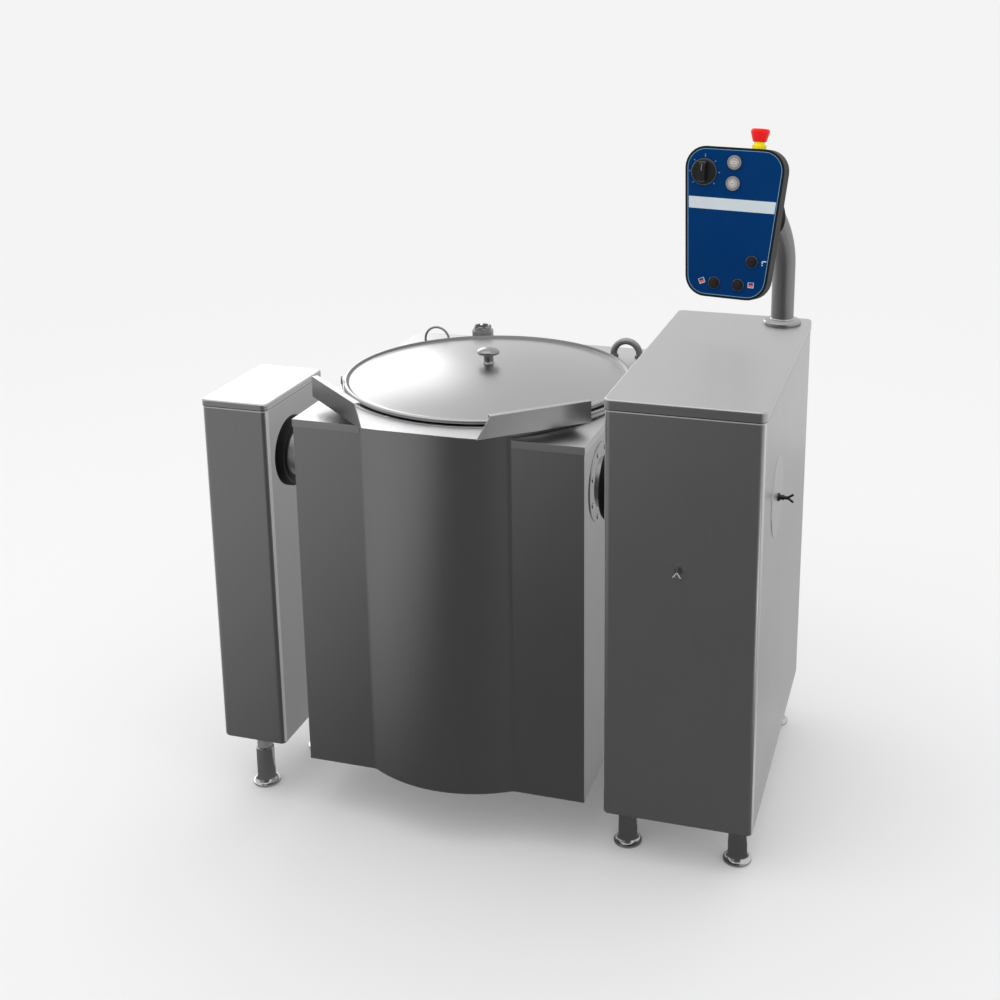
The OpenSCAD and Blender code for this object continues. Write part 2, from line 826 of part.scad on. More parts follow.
module panel_face() {
    color([0.0, 0.16, 0.4]) panel_frame() difference() {
        panel_slab(face_inset, -face_t, face_t);
        translate([knob_at[0], knob_at[1], -5]) cylinder(r = knob_shaft_r + running_fit, h = 10);
        for (p = [light_at, power_at]) translate([p[0], p[1], -5])
            cylinder(r = grey_r - 2 + button_gap, h = 10);
        for (p = [water_at, tilt_up_at, tilt_down_at]) translate([p[0], p[1], -5])
            cylinder(r = black_r - 2 + button_gap, h = 10);
    }
}

knob_gap = 0.4;

module heat_knob() {
    grip_w = 15;
    color([0.05, 0.05, 0.05]) panel_frame() translate([knob_at[0], knob_at[1], knob_gap]) {
        rotate_extrude() polygon([[0, 0], [knob_r - 1.5, 0], [knob_r, 1.5], [knob_r - 1, 5],
            [knob_r - 4, 7], [0, 7]]);
        intersection() {
            rotate_extrude() polygon([[0, 0], [knob_r - 5, 6], [knob_r - 7, 17], [knob_r - 10, 20], [0, 20]]);
            translate([-grip_w / 2, -knob_r, 0]) cube([grip_w, 2 * knob_r, 21]);
        }
        translate([0, 0, -12]) cylinder(r = knob_shaft_r, h = 13);
    }
}

// Push button: a domed cap over the face, and a stem that runs through it
module push_button(p, r, dome) {
    panel_frame() translate([p[0], p[1], 0]) rotate_extrude() polygon(concat(
        [[0, -12], [r - 2, -12], [r - 2, button_travel + 0.4], [r, button_travel + 0.4]],
        [for (a = [0 : 15 : 90]) [r - 2 + 2 * cos(a), button_travel + 2 + 2 * sin(a)]],
        [[0, button_travel + 4 + dome]]));
}

module light_button() {
    color("darkgray") push_button(light_at, grey_r, 0.4);
}

module power_button() {
    color("darkgray") push_button(power_at, grey_r, 0.4);
}

module water_button() {
    color([0.07, 0.07, 0.07]) push_button(water_at, black_r, 1.5);
}

module tilt_down_button() {
    color([0.07, 0.07, 0.07]) push_button(tilt_down_at, black_r, 1.5);
}

module tilt_up_button() {
    color([0.07, 0.07, 0.07]) push_button(tilt_up_at, black_r, 1.5);
}

// Stop button: a yellow collar on the panel's upper edge and a red mushroom head
collar_r = 15;
collar_h = 15;
collar_neck_r = 11.5;
head_base_r = 14;
head_h = 28;

module on_panel_top() {
    panel_frame() translate([stop_x, panel_h / 2, -stop_depth]) rotate([-90, 0, 0]) children();
}

module stop_collar() {
    color("gold") on_panel_top() difference() {
        rotate_extrude() polygon([[0, 0], [collar_r, 0], [collar_r - 1, collar_h - stop_travel - 2],
            [collar_neck_r, collar_h - stop_travel - 1], [collar_neck_r, collar_h], [0, collar_h]]);
        translate([0, 0, -1]) cylinder(r = stop_stem_r + running_fit, h = collar_h + 2);
    }
}

module stop_button() {
    recess = stop_travel + 3;
    color("red") on_panel_top() translate([0, 0, collar_h]) {
        difference() {
            rotate_extrude() polygon([[0, 0], [head_base_r, 0], [stop_r, head_h * 0.72],
                [stop_r, head_h * 0.86], [stop_r - 2, head_h * 0.97], [stop_r - 6, head_h], [0, head_h + 0.5]]);
            translate([0, 0, -1]) cylinder(r = collar_neck_r + free_gap, h = recess + 1);
        }
        translate([0, 0, -collar_h - 6]) cylinder(r = stop_stem_r, h = collar_h + 6 + recess + 1);
    }
}

// Plan of the casing: a rectangle whose front carries the bulge
module casing_plan(inset) {
    translate([-half_w + inset, front_y + inset]) square([casing_w - 2 * inset, casing_d - 2 * inset]);
    bulge_plan(inset);
}

module bulge_plan(inset) {
    lean = atan2(fillet_x, bulge_y - fillet_y);
    intersection() {
        translate([0, bulge_y]) circle(r = bulge_r - inset, $fn = 180);
        translate([-half_w, front_y - bulge_out]) square([casing_w, bulge_out + inset + 1]);
    }
    for (s = [-1, 1]) difference() {
        polygon([[s * fillet_x, front_y + inset], [0, front_y + inset + 1], [0, bulge_y - bulge_r + inset + 10],
            [s * (bulge_r - inset) * sin(lean), bulge_y - (bulge_r - inset) * cos(lean)]]);
        translate([s * fillet_x, fillet_y]) circle(r = bulge_fillet + inset);
    }
}

module casing() {
    body_top = casing_top - sheet;
    color("dimgray") at_home() difference() {
        union() {
            translate([0, 0, casing_bottom]) linear_extrude(body_top - casing_bottom) difference() {
                casing_plan(0);
                casing_plan(sheet);
            }
            translate([0, 0, body_top - 1]) linear_extrude(rim_z - body_top + 1) intersection() {
                difference() {
                    bulge_plan(0);
                    casing_plan(sheet);
                }
                translate([-half_w, front_y - bulge_out]) square([casing_w, bulge_out]);
            }
        }
        for (x = [-half_w - 1, half_w - sheet - 1]) on_x(x, axis_y, axis_z)
            cylinder(r = pipe_r, h = sheet + 2);
    }
}

module top_plate() {
    o = overhang;
    color("silver") at_home() difference() {
        translate([-half_w - o, front_y - o, casing_top - plate_fold])
            cube([casing_w + 2 * o, casing_d + 2 * o, plate_fold]);
        translate([-half_w, front_y, casing_top - plate_fold - 1])
            cube([casing_w, casing_d, plate_fold + 1 - sheet]);
        translate([-fillet_x, front_y - o - 1, casing_top - plate_fold - 1])
            cube([2 * fillet_x, o + 1, plate_fold + 2]);
        translate([0, vessel_y, casing_top - sheet - 1]) cylinder(r = bowl_out, h = sheet + 2);
    }
}

module bottom_pan() {
    color("gray") at_home() translate([0, 0, casing_bottom]) linear_extrude(sheet) casing_plan(sheet);
}

// Dished vessels: half an ellipse below a straight wall
dish_steps = 10;

function dish(r, top, depth) = [for (i = [0 : dish_steps]) let (a = 90 * i / dish_steps)
    [r * cos(a), top - depth * sin(a)]];

module bowl() {
    color("silver") at_home() translate([0, vessel_y, 0]) rotate_extrude($fn = 120) difference() {
        polygon(concat([[0, rim_z], [bowl_out, rim_z]], dish(bowl_out, straight_z, bowl_dish + bowl_wall)));
        polygon(concat([[0, rim_z + 1], [bowl_r, rim_z + 1]], dish(bowl_r, straight_z, bowl_dish)));
    }
}

jacket_top = casing_top - 16;
heater_hole_r = 62;
jacket_dish = straight_z - jacket_bottom;

module steam_jacket() {
    color("slategray") at_home() translate([0, vessel_y, 0]) difference() {
        rotate_extrude($fn = 120) difference() {
            polygon(concat([[0, jacket_top], [jacket_out, jacket_top]],
                dish(jacket_out, straight_z, jacket_dish + jacket_wall)));
            polygon(concat([[0, jacket_top - jacket_wall], [jacket_in, jacket_top - jacket_wall]],
                dish(jacket_in, straight_z, jacket_dish)));
        }
        translate([0, 0, jacket_top - jacket_wall - 1]) cylinder(r = bowl_out, h = jacket_wall + 2);
        translate([0, 0, jacket_bottom - jacket_wall - 1]) cylinder(r = heater_hole_r, h = 40);
    }
}

insulation_top = axis_z - flange_r - 30;

module insulation() {
    color("khaki") at_home() translate([0, vessel_y, insulation_top - insulation_h])
        ring(jacket_out + insulation_t, jacket_out, insulation_h);
}

// Heating elements: hairpins on a flange that closes the hole in the jacket's bottom
hairpin_count = 6;
hairpin_r = 5;
hairpin_half = 12;
hairpin_leg = 18;
heater_flange_r = 80;
heater_flange_t = 10;

function jacket_low(r) = lookup(r, dish(jacket_out, straight_z, jacket_dish + jacket_wall));

module hairpin() {
    for (x = [-hairpin_half, hairpin_half]) translate([x, 0, -1])
        cylinder(r = hairpin_r, h = hairpin_leg + 1);
    translate([0, 0, hairpin_leg]) rotate([90, 0, 0]) rotate_extrude(angle = 180)
        translate([hairpin_half, 0]) circle(r = hairpin_r);
}

module heating_elements() {
    low = jacket_low(0) - heater_flange_t;
    top = jacket_low(heater_hole_r);
    color("peru") at_home() translate([0, vessel_y, 0]) {
        rotate_extrude() polygon([[0, low], [heater_flange_r, low], [heater_flange_r, jacket_low(heater_flange_r)],
            [heater_hole_r, top], [0, top]]);
        for (k = [0 : hairpin_count - 1]) rotate([0, 0, k * 360 / hairpin_count])
            translate([38, 0, top]) rotate([0, 0, 90]) hairpin();
    }
}

// Neck: the raised deck between the top plate and the rim
neck_front = 10;
neck_y = bulge_y - bulge_r + neck_front + half_w;

module neck() {
    color("gray") at_home() translate([0, 0, casing_top]) linear_extrude(neck_h) difference() {
        union() {
            translate([0, vessel_y]) circle(r = half_w, $fn = 180);
            translate([0, neck_y]) circle(r = half_w, $fn = 180);
            translate([-half_w, neck_y]) square([casing_w, vessel_y - neck_y]);
        }
        translate([0, vessel_y]) circle(r = bowl_out, $fn = 180);
    }
}

module rim() {
    color("lightgray") at_home() translate([0, vessel_y, rim_z]) rotate_extrude($fn = 180)
        polygon([[bowl_r, 0], [rim_r, 0], [rim_r, rim_t - 1], [rim_r - 1, rim_t], [bowl_r + 1.5, rim_t],
            [bowl_r, rim_t - 1.5]]);
}

// Spout floor: a sheet that rises from the rim to the straight front edge and the wings
corner_angle = atan((spout_reach * cos(wing_angle) - wing_reach) / (-spout_reach * sin(wing_angle)));

function floor_reach(a) = min(spout_reach / cos(a), (wing_reach - sheet) / cos(abs(a) - wing_angle));

spout_steps = 6;
floor_angles = concat(
    [for (i = [0 : spout_steps - 1]) -wing_end + (wing_end - corner_angle) * i / spout_steps],
    [for (i = [0 : spout_steps]) -corner_angle + 2 * corner_angle * i / spout_steps],
    [for (i = [1 : spout_steps]) corner_angle + (wing_end - corner_angle) * i / spout_steps]);

function round_bowl(r, a, z) = [r * sin(a), vessel_y - r * cos(a), z];

module spout_floor() {
    n = len(floor_angles);
    inner = rim_r / cos((wing_end - corner_angle) / spout_steps / 2);
    points = [for (a = floor_angles) each [
        round_bowl(inner, a, rim_top - sheet), round_bowl(floor_reach(a), a, spout_z - sheet),
        round_bowl(floor_reach(a), a, spout_z), round_bowl(inner, a, rim_top)]];
    sides = [for (i = [0 : n - 2], k = [0 : 3]) let (a = 4 * i + k, b = 4 * i + (k + 1) % 4)
        [a, a + 4, b + 4, b]];
    ends = [[0, 1, 2, 3], [4 * n - 1, 4 * n - 2, 4 * n - 3, 4 * n - 4]];
    color("gainsboro") at_home() polyhedron(points = points, faces = concat(sides, ends));
}

// Wing: an upright sheet along the spout's side, with a hem folded inwards at the top
wing_start = wing_reach * tan(corner_angle - wing_angle);
wing_stop = wing_reach * tan(wing_end - wing_angle);

module wing(side) {
    length = wing_stop - wing_start;
    color("gray") at_home() mirror([side < 0 ? 1 : 0, 0, 0]) translate([0, vessel_y, spout_z - sheet])
        rotate([0, 0, wing_angle]) translate([wing_start, -wing_reach, 0]) {
        rotate([90, 0, 0]) translate([0, 0, -sheet]) linear_extrude(sheet)
            polygon([[0, 0], [length, 0], [length, wing_h], [wing_lean, wing_h]]);
        translate([wing_lean, 0, wing_h - sheet]) cube([length - wing_lean, wing_hem, sheet]);
        translate([wing_lean, wing_hem - sheet, wing_h - sheet - 5]) cube([length - wing_lean, sheet, 6]);
    }
}

module left_wing() {
    wing(-1);
}

module right_wing() {
    wing(1);
}

// Trunnions: a pipe on a carrier plate inside the casing, with a saddle on the jacket
carrier_t = 8;
carrier_y0 = axis_y - 75;
carrier_y1 = vessel_y + 40;
carrier_z0 = axis_z - flange_r;
carrier_z1 = jacket_top - 6;
saddle_w = 80;
pipe_end = gear_x + gear_w + 10;
left_pipe_end = left_bearing_x - bearing_l - 6;

module trunnion(outer_x) {
    inner_x = half_w - sheet - carrier_t;
    difference() {
        union() {
            translate([inner_x, carrier_y0, carrier_z0])
                cube([carrier_t, carrier_y1 - carrier_y0, carrier_z1 - carrier_z0]);
            translate([inner_x - 30, vessel_y - saddle_w / 2, carrier_z0])
                cube([31, saddle_w, carrier_z1 - carrier_z0]);
            on_x(inner_x + 1, axis_y, axis_z) cylinder(r = pipe_r, h = outer_x - inner_x - 1);
        }
        translate([0, vessel_y, carrier_z0 - 1]) cylinder(r = jacket_out, h = carrier_z1 - carrier_z0 + 2);
        on_x(inner_x - 1, axis_y, axis_z) cylinder(r = pipe_r - pipe_wall, h = outer_x - inner_x - 5);
    }
}

module right_trunnion() {
    color("silver") at_home() trunnion(pipe_end);
}

module left_trunnion() {
    color("silver") at_home() mirror([1, 0, 0]) trunnion(-left_pipe_end);
}

screw_r = 5.5;
screw_h = 3.5;
screw_circle_r = (pipe_r + flange_r) / 2 + 4;

module trunnion_flanges() {
    color("silver") at_home() for (s = [0, 1]) mirror([s, 0, 0]) on_x(half_w, axis_y, axis_z) rotate_extrude()
        polygon([[pipe_r, 0], [flange_r, 0], [flange_r, flange_t - 1], [flange_r - 1, flange_t],
            [pipe_r, flange_t]]);
}

module flange_screws() {
    color("gray") at_home() for (s = [0, 1]) mirror([s, 0, 0]) on_x(half_w + flange_t, axis_y, axis_z)
        for (k = [0 : flange_screw_count - 1]) rotate([0, 0, (k + 0.5) * 360 / flange_screw_count])
            translate([screw_circle_r, 0, 0]) cylinder(r = screw_r, h = screw_h);
}

// Rear hardware: a rod loop, a vent pipe with its nut, and a forked rest, all on the top plate
module half_loop(radius, rod, leg) {
    translate([0, 0, leg]) rotate([90, 0, 0]) rotate_extrude(angle = 180) translate([radius, 0]) circle(r = rod);
    for (x = [-radius, radius]) translate([x, 0, 0]) cylinder(r = rod, h = leg);
}

module rim_fork() {
    fork_l = rim_fork_h * 0.45;
    cylinder(r = rim_fork_r, h = rim_fork_h * 0.65);
    translate([0, 0, rim_fork_h * 0.6]) for (a = [-40, 40]) rotate([0, a, 0]) {
        cylinder(r = rim_fork_r - 0.3, h = fork_l);
        translate([0, 0, fork_l]) sphere(r = rim_fork_r - 0.3);
    }
}

module rear_hardware() {
    color("silver") at_home() {
        translate([loop_x, loop_y, casing_top]) half_loop(loop_r, loop_rod_r, loop_leg);
        translate([vent_x, vent_y, casing_top]) half_loop(vent_span, vent_r, vent_leg);
        for (x = [-vent_span, vent_span]) translate([vent_x + x, vent_y, casing_top])
            cylinder(r = vent_r + 3.5, h = 6, $fn = 6);
        translate([0, vessel_y, rim_top]) rotate([0, 0, -rim_fork_angle])
            translate([0, -(lid_r + rim_r) / 2, 0]) rim_fork();
    }
}

// Filling stub: a threaded pipe with a notched crown for a hose key
crown_h = 10;
crown_notches = 6;

module filling_stub() {
    color("silver") at_home() translate([stub_x, stub_y, casing_top]) difference() {
        union() {
            cylinder(r = stub_r, h = stub_h);
            cylinder(r = stub_r + 3, h = 5);
        }
        translate([0, 0, -1]) cylinder(r = stub_bore_r, h = stub_h + 2);
    }
}

module stub_crown() {
    color("silver") at_home() translate([stub_x, stub_y, casing_top + stub_h]) difference() {
        ring(crown_r, crown_r - 3.5, crown_h);
        for (k = [0 : crown_notches - 1]) rotate([0, 0, k * 360 / crown_notches])
            translate([crown_r - 6, -3.5, crown_h - 4]) cube([10, 7, 6]);
    }
}

// Lid: a shallow dome inside a flat ring with a rolled edge, its seal and its knob
bead_centre = lid_r - bead_r;
dome_r = bead_centre - bead_r - lid_flat;
cap_radius = (dome_r * dome_r + dome_h * dome_h) / (2 * dome_h);
dome_steps = 12;

function cap_points(drop) = [for (i = [0 : dome_steps]) let (r = dome_r * (1 - i / dome_steps))
    [r, dome_z - drop - cap_radius + sqrt(cap_radius * cap_radius - r * r)]];

module lid_shell() {
    color("whitesmoke") at_home() translate([0, vessel_y, 0]) rotate_extrude($fn = 180) {
        difference() {
            polygon(concat([[0, flange_z - sheet], [bead_centre, flange_z - sheet], [bead_centre, flange_z]],
                cap_points(0)));
            polygon(concat([[0, flange_z - sheet - 1], [dome_r - 1, flange_z - sheet - 1]], cap_points(sheet)));
        }
        translate([bead_centre, lid_z + bead_r]) circle(r = bead_r, $fn = 32);
    }
}

lid_seal_r = bowl_r + 20;
lid_seal_w = 14;

module lid_seal() {
    color([0.2, 0.2, 0.2]) at_home() translate([0, vessel_y, lid_z])
        ring(lid_seal_r + lid_seal_w / 2, lid_seal_r - lid_seal_w / 2, flange_z - sheet - lid_z);
}

module lid_knob() {
    stem_r = lid_knob_r * 0.47;
    cap_z = dome_z + lid_knob_h * 0.5;
    color("silver") at_home() translate([0, vessel_y, 0]) rotate_extrude() polygon(concat(
        [[0, dome_z], [stem_r + 2, dome_z], [stem_r, dome_z + 3], [stem_r, cap_z]],
        [for (a = [-90 : 22.5 : 90]) [lid_knob_r - 3 + 3 * cos(a), cap_z + 5 + 3 * sin(a)]],
        [for (a = [0 : 15 : 90]) [(lid_knob_r - 3) * cos(a), cap_z + 8 + (knob_top - cap_z - 8) * sin(a)]]));
}

right_housing();
right_cover();
right_frame();
right_bearing();
right_seal();
right_legs();
foot_front_outer();
foot_front_inner();
foot_rear_outer();
foot_rear_inner();
left_housing();
left_cover();
left_frame();
left_bearing();
left_seal();
left_legs();
foot_left_front();
foot_left_rear();
motor_bracket();
gearmotor();
pinion();
cable_gland();
side_plate();
side_hook();
front_hook();
post_flange();
control_post();
panel_housing();
panel_face();
heat_knob();
light_button();
power_button();
water_button();
tilt_down_button();
tilt_up_button();
stop_collar();
stop_button();
casing();
top_plate();
bottom_pan();
bowl();
steam_jacket();
insulation();
heating_elements();
neck();
rim();
spout_floor();
left_wing();
right_wing();
left_trunnion();
right_trunnion();
trunnion_flanges();
flange_screws();
sector_gear();
rear_hardware();
filling_stub();
stub_crown();
lid_shell();
lid_seal();
lid_knob();
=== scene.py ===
"""Tilting cooking kettle: the looks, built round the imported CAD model."""

import json
import math

import bmesh
import bpy
from mathutils import Matrix, Vector

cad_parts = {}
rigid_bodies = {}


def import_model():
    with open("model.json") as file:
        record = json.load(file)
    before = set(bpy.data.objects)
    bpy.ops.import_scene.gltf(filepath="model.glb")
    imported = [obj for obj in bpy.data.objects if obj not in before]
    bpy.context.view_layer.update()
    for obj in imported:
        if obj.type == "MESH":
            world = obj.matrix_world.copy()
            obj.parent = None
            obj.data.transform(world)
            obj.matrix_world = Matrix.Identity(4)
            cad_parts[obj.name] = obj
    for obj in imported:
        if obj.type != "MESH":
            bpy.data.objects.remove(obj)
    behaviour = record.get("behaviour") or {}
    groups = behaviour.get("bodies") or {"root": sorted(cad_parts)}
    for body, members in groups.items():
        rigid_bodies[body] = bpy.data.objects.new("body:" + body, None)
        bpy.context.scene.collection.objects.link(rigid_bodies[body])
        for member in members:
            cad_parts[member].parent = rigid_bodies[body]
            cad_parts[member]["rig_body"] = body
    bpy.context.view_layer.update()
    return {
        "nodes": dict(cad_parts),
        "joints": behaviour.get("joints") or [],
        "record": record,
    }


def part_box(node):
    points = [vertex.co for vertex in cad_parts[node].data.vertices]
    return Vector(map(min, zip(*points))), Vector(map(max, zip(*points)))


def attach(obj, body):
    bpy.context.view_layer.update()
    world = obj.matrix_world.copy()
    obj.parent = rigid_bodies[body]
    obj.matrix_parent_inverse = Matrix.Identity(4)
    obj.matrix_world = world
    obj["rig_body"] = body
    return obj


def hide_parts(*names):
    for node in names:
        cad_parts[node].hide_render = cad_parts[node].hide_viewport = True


bl_info = {
    "name": "Tilting Cooking Kettle",
    "version": (1, 0, 0),
    "blender": (4, 5, 0),
    "location": "3D View > Sidebar > Kettle",
    "description": "Dresses the packed model of a tilting cooking kettle",
    "category": "Object",
}

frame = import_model()
RECORD = frame["record"]
SLOT_OF = {part["node"]: part["material_slot"] for part in RECORD["subparts"]}
MM = 0.001


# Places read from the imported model


def middle(node):
    low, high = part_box(node)
    return (low + high) / 2


def joint(name):
    return next(j for j in frame["joints"] if j["name"] == name)


BOWL_AXIS = middle("rim")
FACE_OUT = -Vector(joint("heat_knob_turn")["axis"])
FACE_UP = -Vector(joint("stop_press")["axis"])
FACE_RIGHT = FACE_UP.cross(FACE_OUT)
KNOB_AT = Vector(joint("heat_knob_turn")["pos_m"])


# Shader expressions


class Wire:
    """A shader socket that takes part in Python expressions."""

    def __init__(self, board, socket):
        self.board = board
        self.socket = socket

    def _with(self, operation, other, other_first=False):
        first, second = (other, self) if other_first else (self, other)
        return self.board.node(
            "ShaderNodeMath", {"operation": operation}, {0: first, 1: second}
        )

    def __add__(self, other):
        return self._with("ADD", other)

    def __radd__(self, other):
        return self._with("ADD", other, True)

    def __sub__(self, other):
        return self._with("SUBTRACT", other)

    def __rsub__(self, other):
        return self._with("SUBTRACT", other, True)

    def __mul__(self, other):
        return self._with("MULTIPLY", other)

    def __gt__(self, other):
        return self._with("GREATER_THAN", other)


class Board:
    """A node tree and the one way to add a node to it."""

    def __init__(self, owner):
        owner.use_nodes = True
        self.tree = owner.node_tree
        self.tree.nodes.clear()

    def node(self, kind, settings=None, sockets=None, out=0):
        made = self.tree.nodes.new(kind)
        for key, value in (settings or {}).items():
            if key == "stops":
                ramp = made.color_ramp
                while len(ramp.elements) < len(value):
                    ramp.elements.new(0.5)
                for element, (place, tone) in zip(ramp.elements, value):
                    element.position = place
                    element.color = (*tone, 1) if len(tone) == 3 else tone
            else:
                setattr(made, key, value)
        for key, value in (sockets or {}).items():
            if isinstance(value, Wire):
                self.tree.links.new(value.socket, made.inputs[key])
            else:
                made.inputs[key].default_value = value
        return Wire(self, made.outputs[out]) if made.outputs else None

    def place(self):
        return self.node("ShaderNodeTexCoord", out=3)

    def stretched(self, scale):
        return self.node("ShaderNodeMapping", None, {0: self.place(), 3: scale})

    def noise(self, where, scale, detail=3.0, rough=0.55):
        return self.node(
            "ShaderNodeTexNoise",
            None,
            {"Vector": where, "Scale": scale, "Detail": detail, "Roughness": rough},
        )

    def mix(self, share, first, second):
        return self.node(
            "ShaderNodeMix", {"data_type": "RGBA"}, {0: share, 6: first, 7: second}, 2
        )

    def clamp(self, value, low, high):
        return self.node("ShaderNodeMapRange", None, {0: value, 1: low, 2: high})

    def bump(self, height, depth):
        return self.node(
            "ShaderNodeBump",
            None,
            {"Strength": 1.0, "Distance": depth, "Height": height},
        )

    def finish(self, sockets):
        shader = self.node("ShaderNodeBsdfPrincipled", None, sockets)
        self.node("ShaderNodeOutputMaterial", None, {0: shader})


def tone(value, tint=(1.0, 1.0, 1.0)):
    return (value * tint[0], value * tint[1], value * tint[2], 1)


FINISHES = {}


def material(name, make, *values, **options):
    """The material of that name, made the first time it is asked for."""
    if name not in FINISHES:
        FINISHES[name] = bpy.data.materials.new("kettle_" + name)
        make(Board(FINISHES[name]), *values, **options)
    return FINISHES[name]


STEEL_TINT = (1.0, 1.0, 1.015)
GRAIN_UPRIGHT = (700, 700, 9)
GRAIN_LEVEL = (700, 12, 700)
GRAIN_VESSEL = (400, 8, 400)


def steel(share=1.0):
    """The user's steel tone, brighter or darker by a share."""
    return bpy.context.scene.kettle_looks.steel_tone * share


def brushed(board, value, rough, grain, depth=0.00004, uneven=0.06, flat=0.0):
    """Sheet steel with fine grinding lines along the axis that grain stretches."""
    lines = board.noise(board.stretched(grain), 1.0, 4.0, 0.6)
    patches = board.noise(board.place(), 2.3, 3.0, 0.5)
    wear = board.noise(board.place(), 17.0, 5.0, 0.6)
    spread = board.clamp(lines, 0.3, 0.7)
    shade = board.mix(
        spread * 0.6 + patches * 0.4,
        tone(value * (1 - uneven), STEEL_TINT),
        tone(value * (1 + uneven), STEEL_TINT),
    )
    gloss = rough + (lines - 0.5) * 0.10 + (patches - 0.5) * 0.10 + (wear - 0.5) * 0.06
    board.finish(
        {
            "Base Color": shade,
            "Metallic": 1.0 - flat,
            "Roughness": gloss,
            "Normal": board.bump(lines, depth),
        }
    )


def spun(board, value, rough, depth=0.00003, uneven=0.03):
    """Steel turned on a lathe: the grinding lines run round the bowl's axis."""
    centred = board.node(
        "ShaderNodeMapping",
        None,
        {0: board.place(), 1: (-BOWL_AXIS.x, -BOWL_AXIS.y, 0)},
    )
    across, along, up = (
        board.node("ShaderNodeSeparateXYZ", None, {0: centred}, axis) for axis in "XYZ"
    )
    reach = board.node(
        "ShaderNodeMath", {"operation": "SQRT"}, {0: across * across + along * along}
    )
    turn = board.node(
        "ShaderNodeMath", {"operation": "ARCTAN2"}, {0: along, 1: across}
    )
    rings = board.node(
        "ShaderNodeCombineXYZ", None, {0: reach * 900.0, 1: turn * 2.0, 2: up * 500.0}
    )
    lines = board.noise(rings, 1.0, 4.0, 0.6)
    patches = board.noise(board.place(), 3.1, 3.0, 0.5)
    shade = board.mix(
        board.clamp(lines, 0.3, 0.7) * 0.5 + patches * 0.5,
        tone(value * (1 - uneven), STEEL_TINT),
        tone(value * (1 + uneven), STEEL_TINT),
    )
    board.finish(
        {
            "Base Color": shade,
            "Metallic": 1.0,
            "Roughness": rough + (lines - 0.5) * 0.08 + (patches - 0.5) * 0.08,
            "Normal": board.bump(lines, depth),
        }
    )


def polished(board, value, rough):
    """Bright steel with a faint orange skin."""
    skin = board.noise(board.place(), 240.0, 3.0)
    haze = board.noise(board.place(), 21.0, 4.0)
    board.finish(
        {
            "Base Color": board.mix(haze, tone(value * 0.9), tone(value * 1.08)),
            "Metallic": 1.0,
            "Roughness": rough + (haze - 0.5) * 0.12,
            "Normal": board.bump(skin, 0.00003),
        }
    )


def moulded(board, colour, rough, grain=900.0, depth=0.00006, gleam=0.3):
    """Moulded plastic with a fine eroded texture."""
    skin = board.noise(board.place(), grain, 2.0)
    drift = board.noise(board.place(), 12.0, 3.0)
    dark = tuple(c * 0.9 for c in colour[:3])
    light = tuple(min(1.0, c * 1.08 + 0.002) for c in colour[:3])
    board.finish(
        {
            "Base Color": board.mix(drift, (*dark, 1), (*light, 1)),
            "Roughness": rough + (drift - 0.5) * 0.12 + (skin - 0.5) * 0.05,
            "Specular IOR Level": gleam,
            "Normal": board.bump(skin, depth),
        }
    )


def soft_rubber(board, value, rough):
    """Black rubber with a dusty bloom."""
    skin = board.noise(board.place(), 500.0, 3.0)
    bloom = board.noise(board.place(), 30.0, 5.0)
    board.finish(
        {
            "Base Color": board.mix(bloom, tone(value * 0.7), tone(value * 1.6)),
            "Roughness": rough + (bloom - 0.5) * 0.2,
            "Specular IOR Level": 0.2,
            "Normal": board.bump(skin, 0.00015),
        }
    )


def painted(board, colour, rough):
    """Sprayed enamel with slight orange peel."""
    peel = board.noise(board.place(), 160.0, 2.0)
    drift = board.noise(board.place(), 8.0, 3.0)
    dark = tuple(c * 0.88 for c in colour[:3])
    light = tuple(min(1.0, c * 1.1) for c in colour[:3])
    board.finish(
        {
            "Base Color": board.mix(drift, (*dark, 1), (*light, 1)),
            "Roughness": rough + (drift - 0.5) * 0.15,
            "Coat Weight": 0.25,
            "Normal": board.bump(peel, 0.00015),
        }
    )


def cast(board, value, rough):
    """Rough cast iron under a thin primer."""
    grit = board.noise(board.place(), 220.0, 5.0, 0.7)
    drift = board.noise(board.place(), 14.0, 3.0)
    board.finish(
        {
            "Base Color": board.mix(drift, tone(value * 0.75), tone(value * 1.2)),
            "Metallic": 0.3,
            "Roughness": rough + (grit - 0.5) * 0.25,
            "Normal": board.bump(grit, 0.0006),
        }
    )


def matted_wool(board, colour, rough):
    """Pressed mineral wool with loose fibres."""
    fibres = board.noise(board.stretched((90, 90, 420)), 1.0, 6.0, 0.7)
    tufts = board.noise(board.place(), 60.0, 4.0)
    dark = tuple(c * 0.6 for c in colour[:3])
    board.finish(
        {
            "Base Color": board.mix(
                fibres * 0.6 + tufts * 0.4, (*dark, 1), (*colour[:3], 1)
            ),
            "Roughness": rough,
            "Normal": board.bump(fibres + tufts, 0.003),
        }
    )


def oiled_gear(board, value, rough):
    """Machined steel with a film of oil and darker stains."""
    lines = board.noise(board.stretched((40, 900, 900)), 1.0, 3.0)
    stain = board.noise(board.place(), 26.0, 5.0, 0.65)
    board.finish(
        {
            "Base Color": board.mix(
                stain,
                tone(value * 0.6, (1.0, 0.92, 0.8)),
                tone(value * 1.15, (1.0, 0.98, 0.94)),
            ),
            "Metallic": 1.0,
            "Roughness": rough + (lines - 0.5) * 0.2,
            "Coat Weight": 0.3,
            "Normal": board.bump(lines, 0.00006),
        }
    )


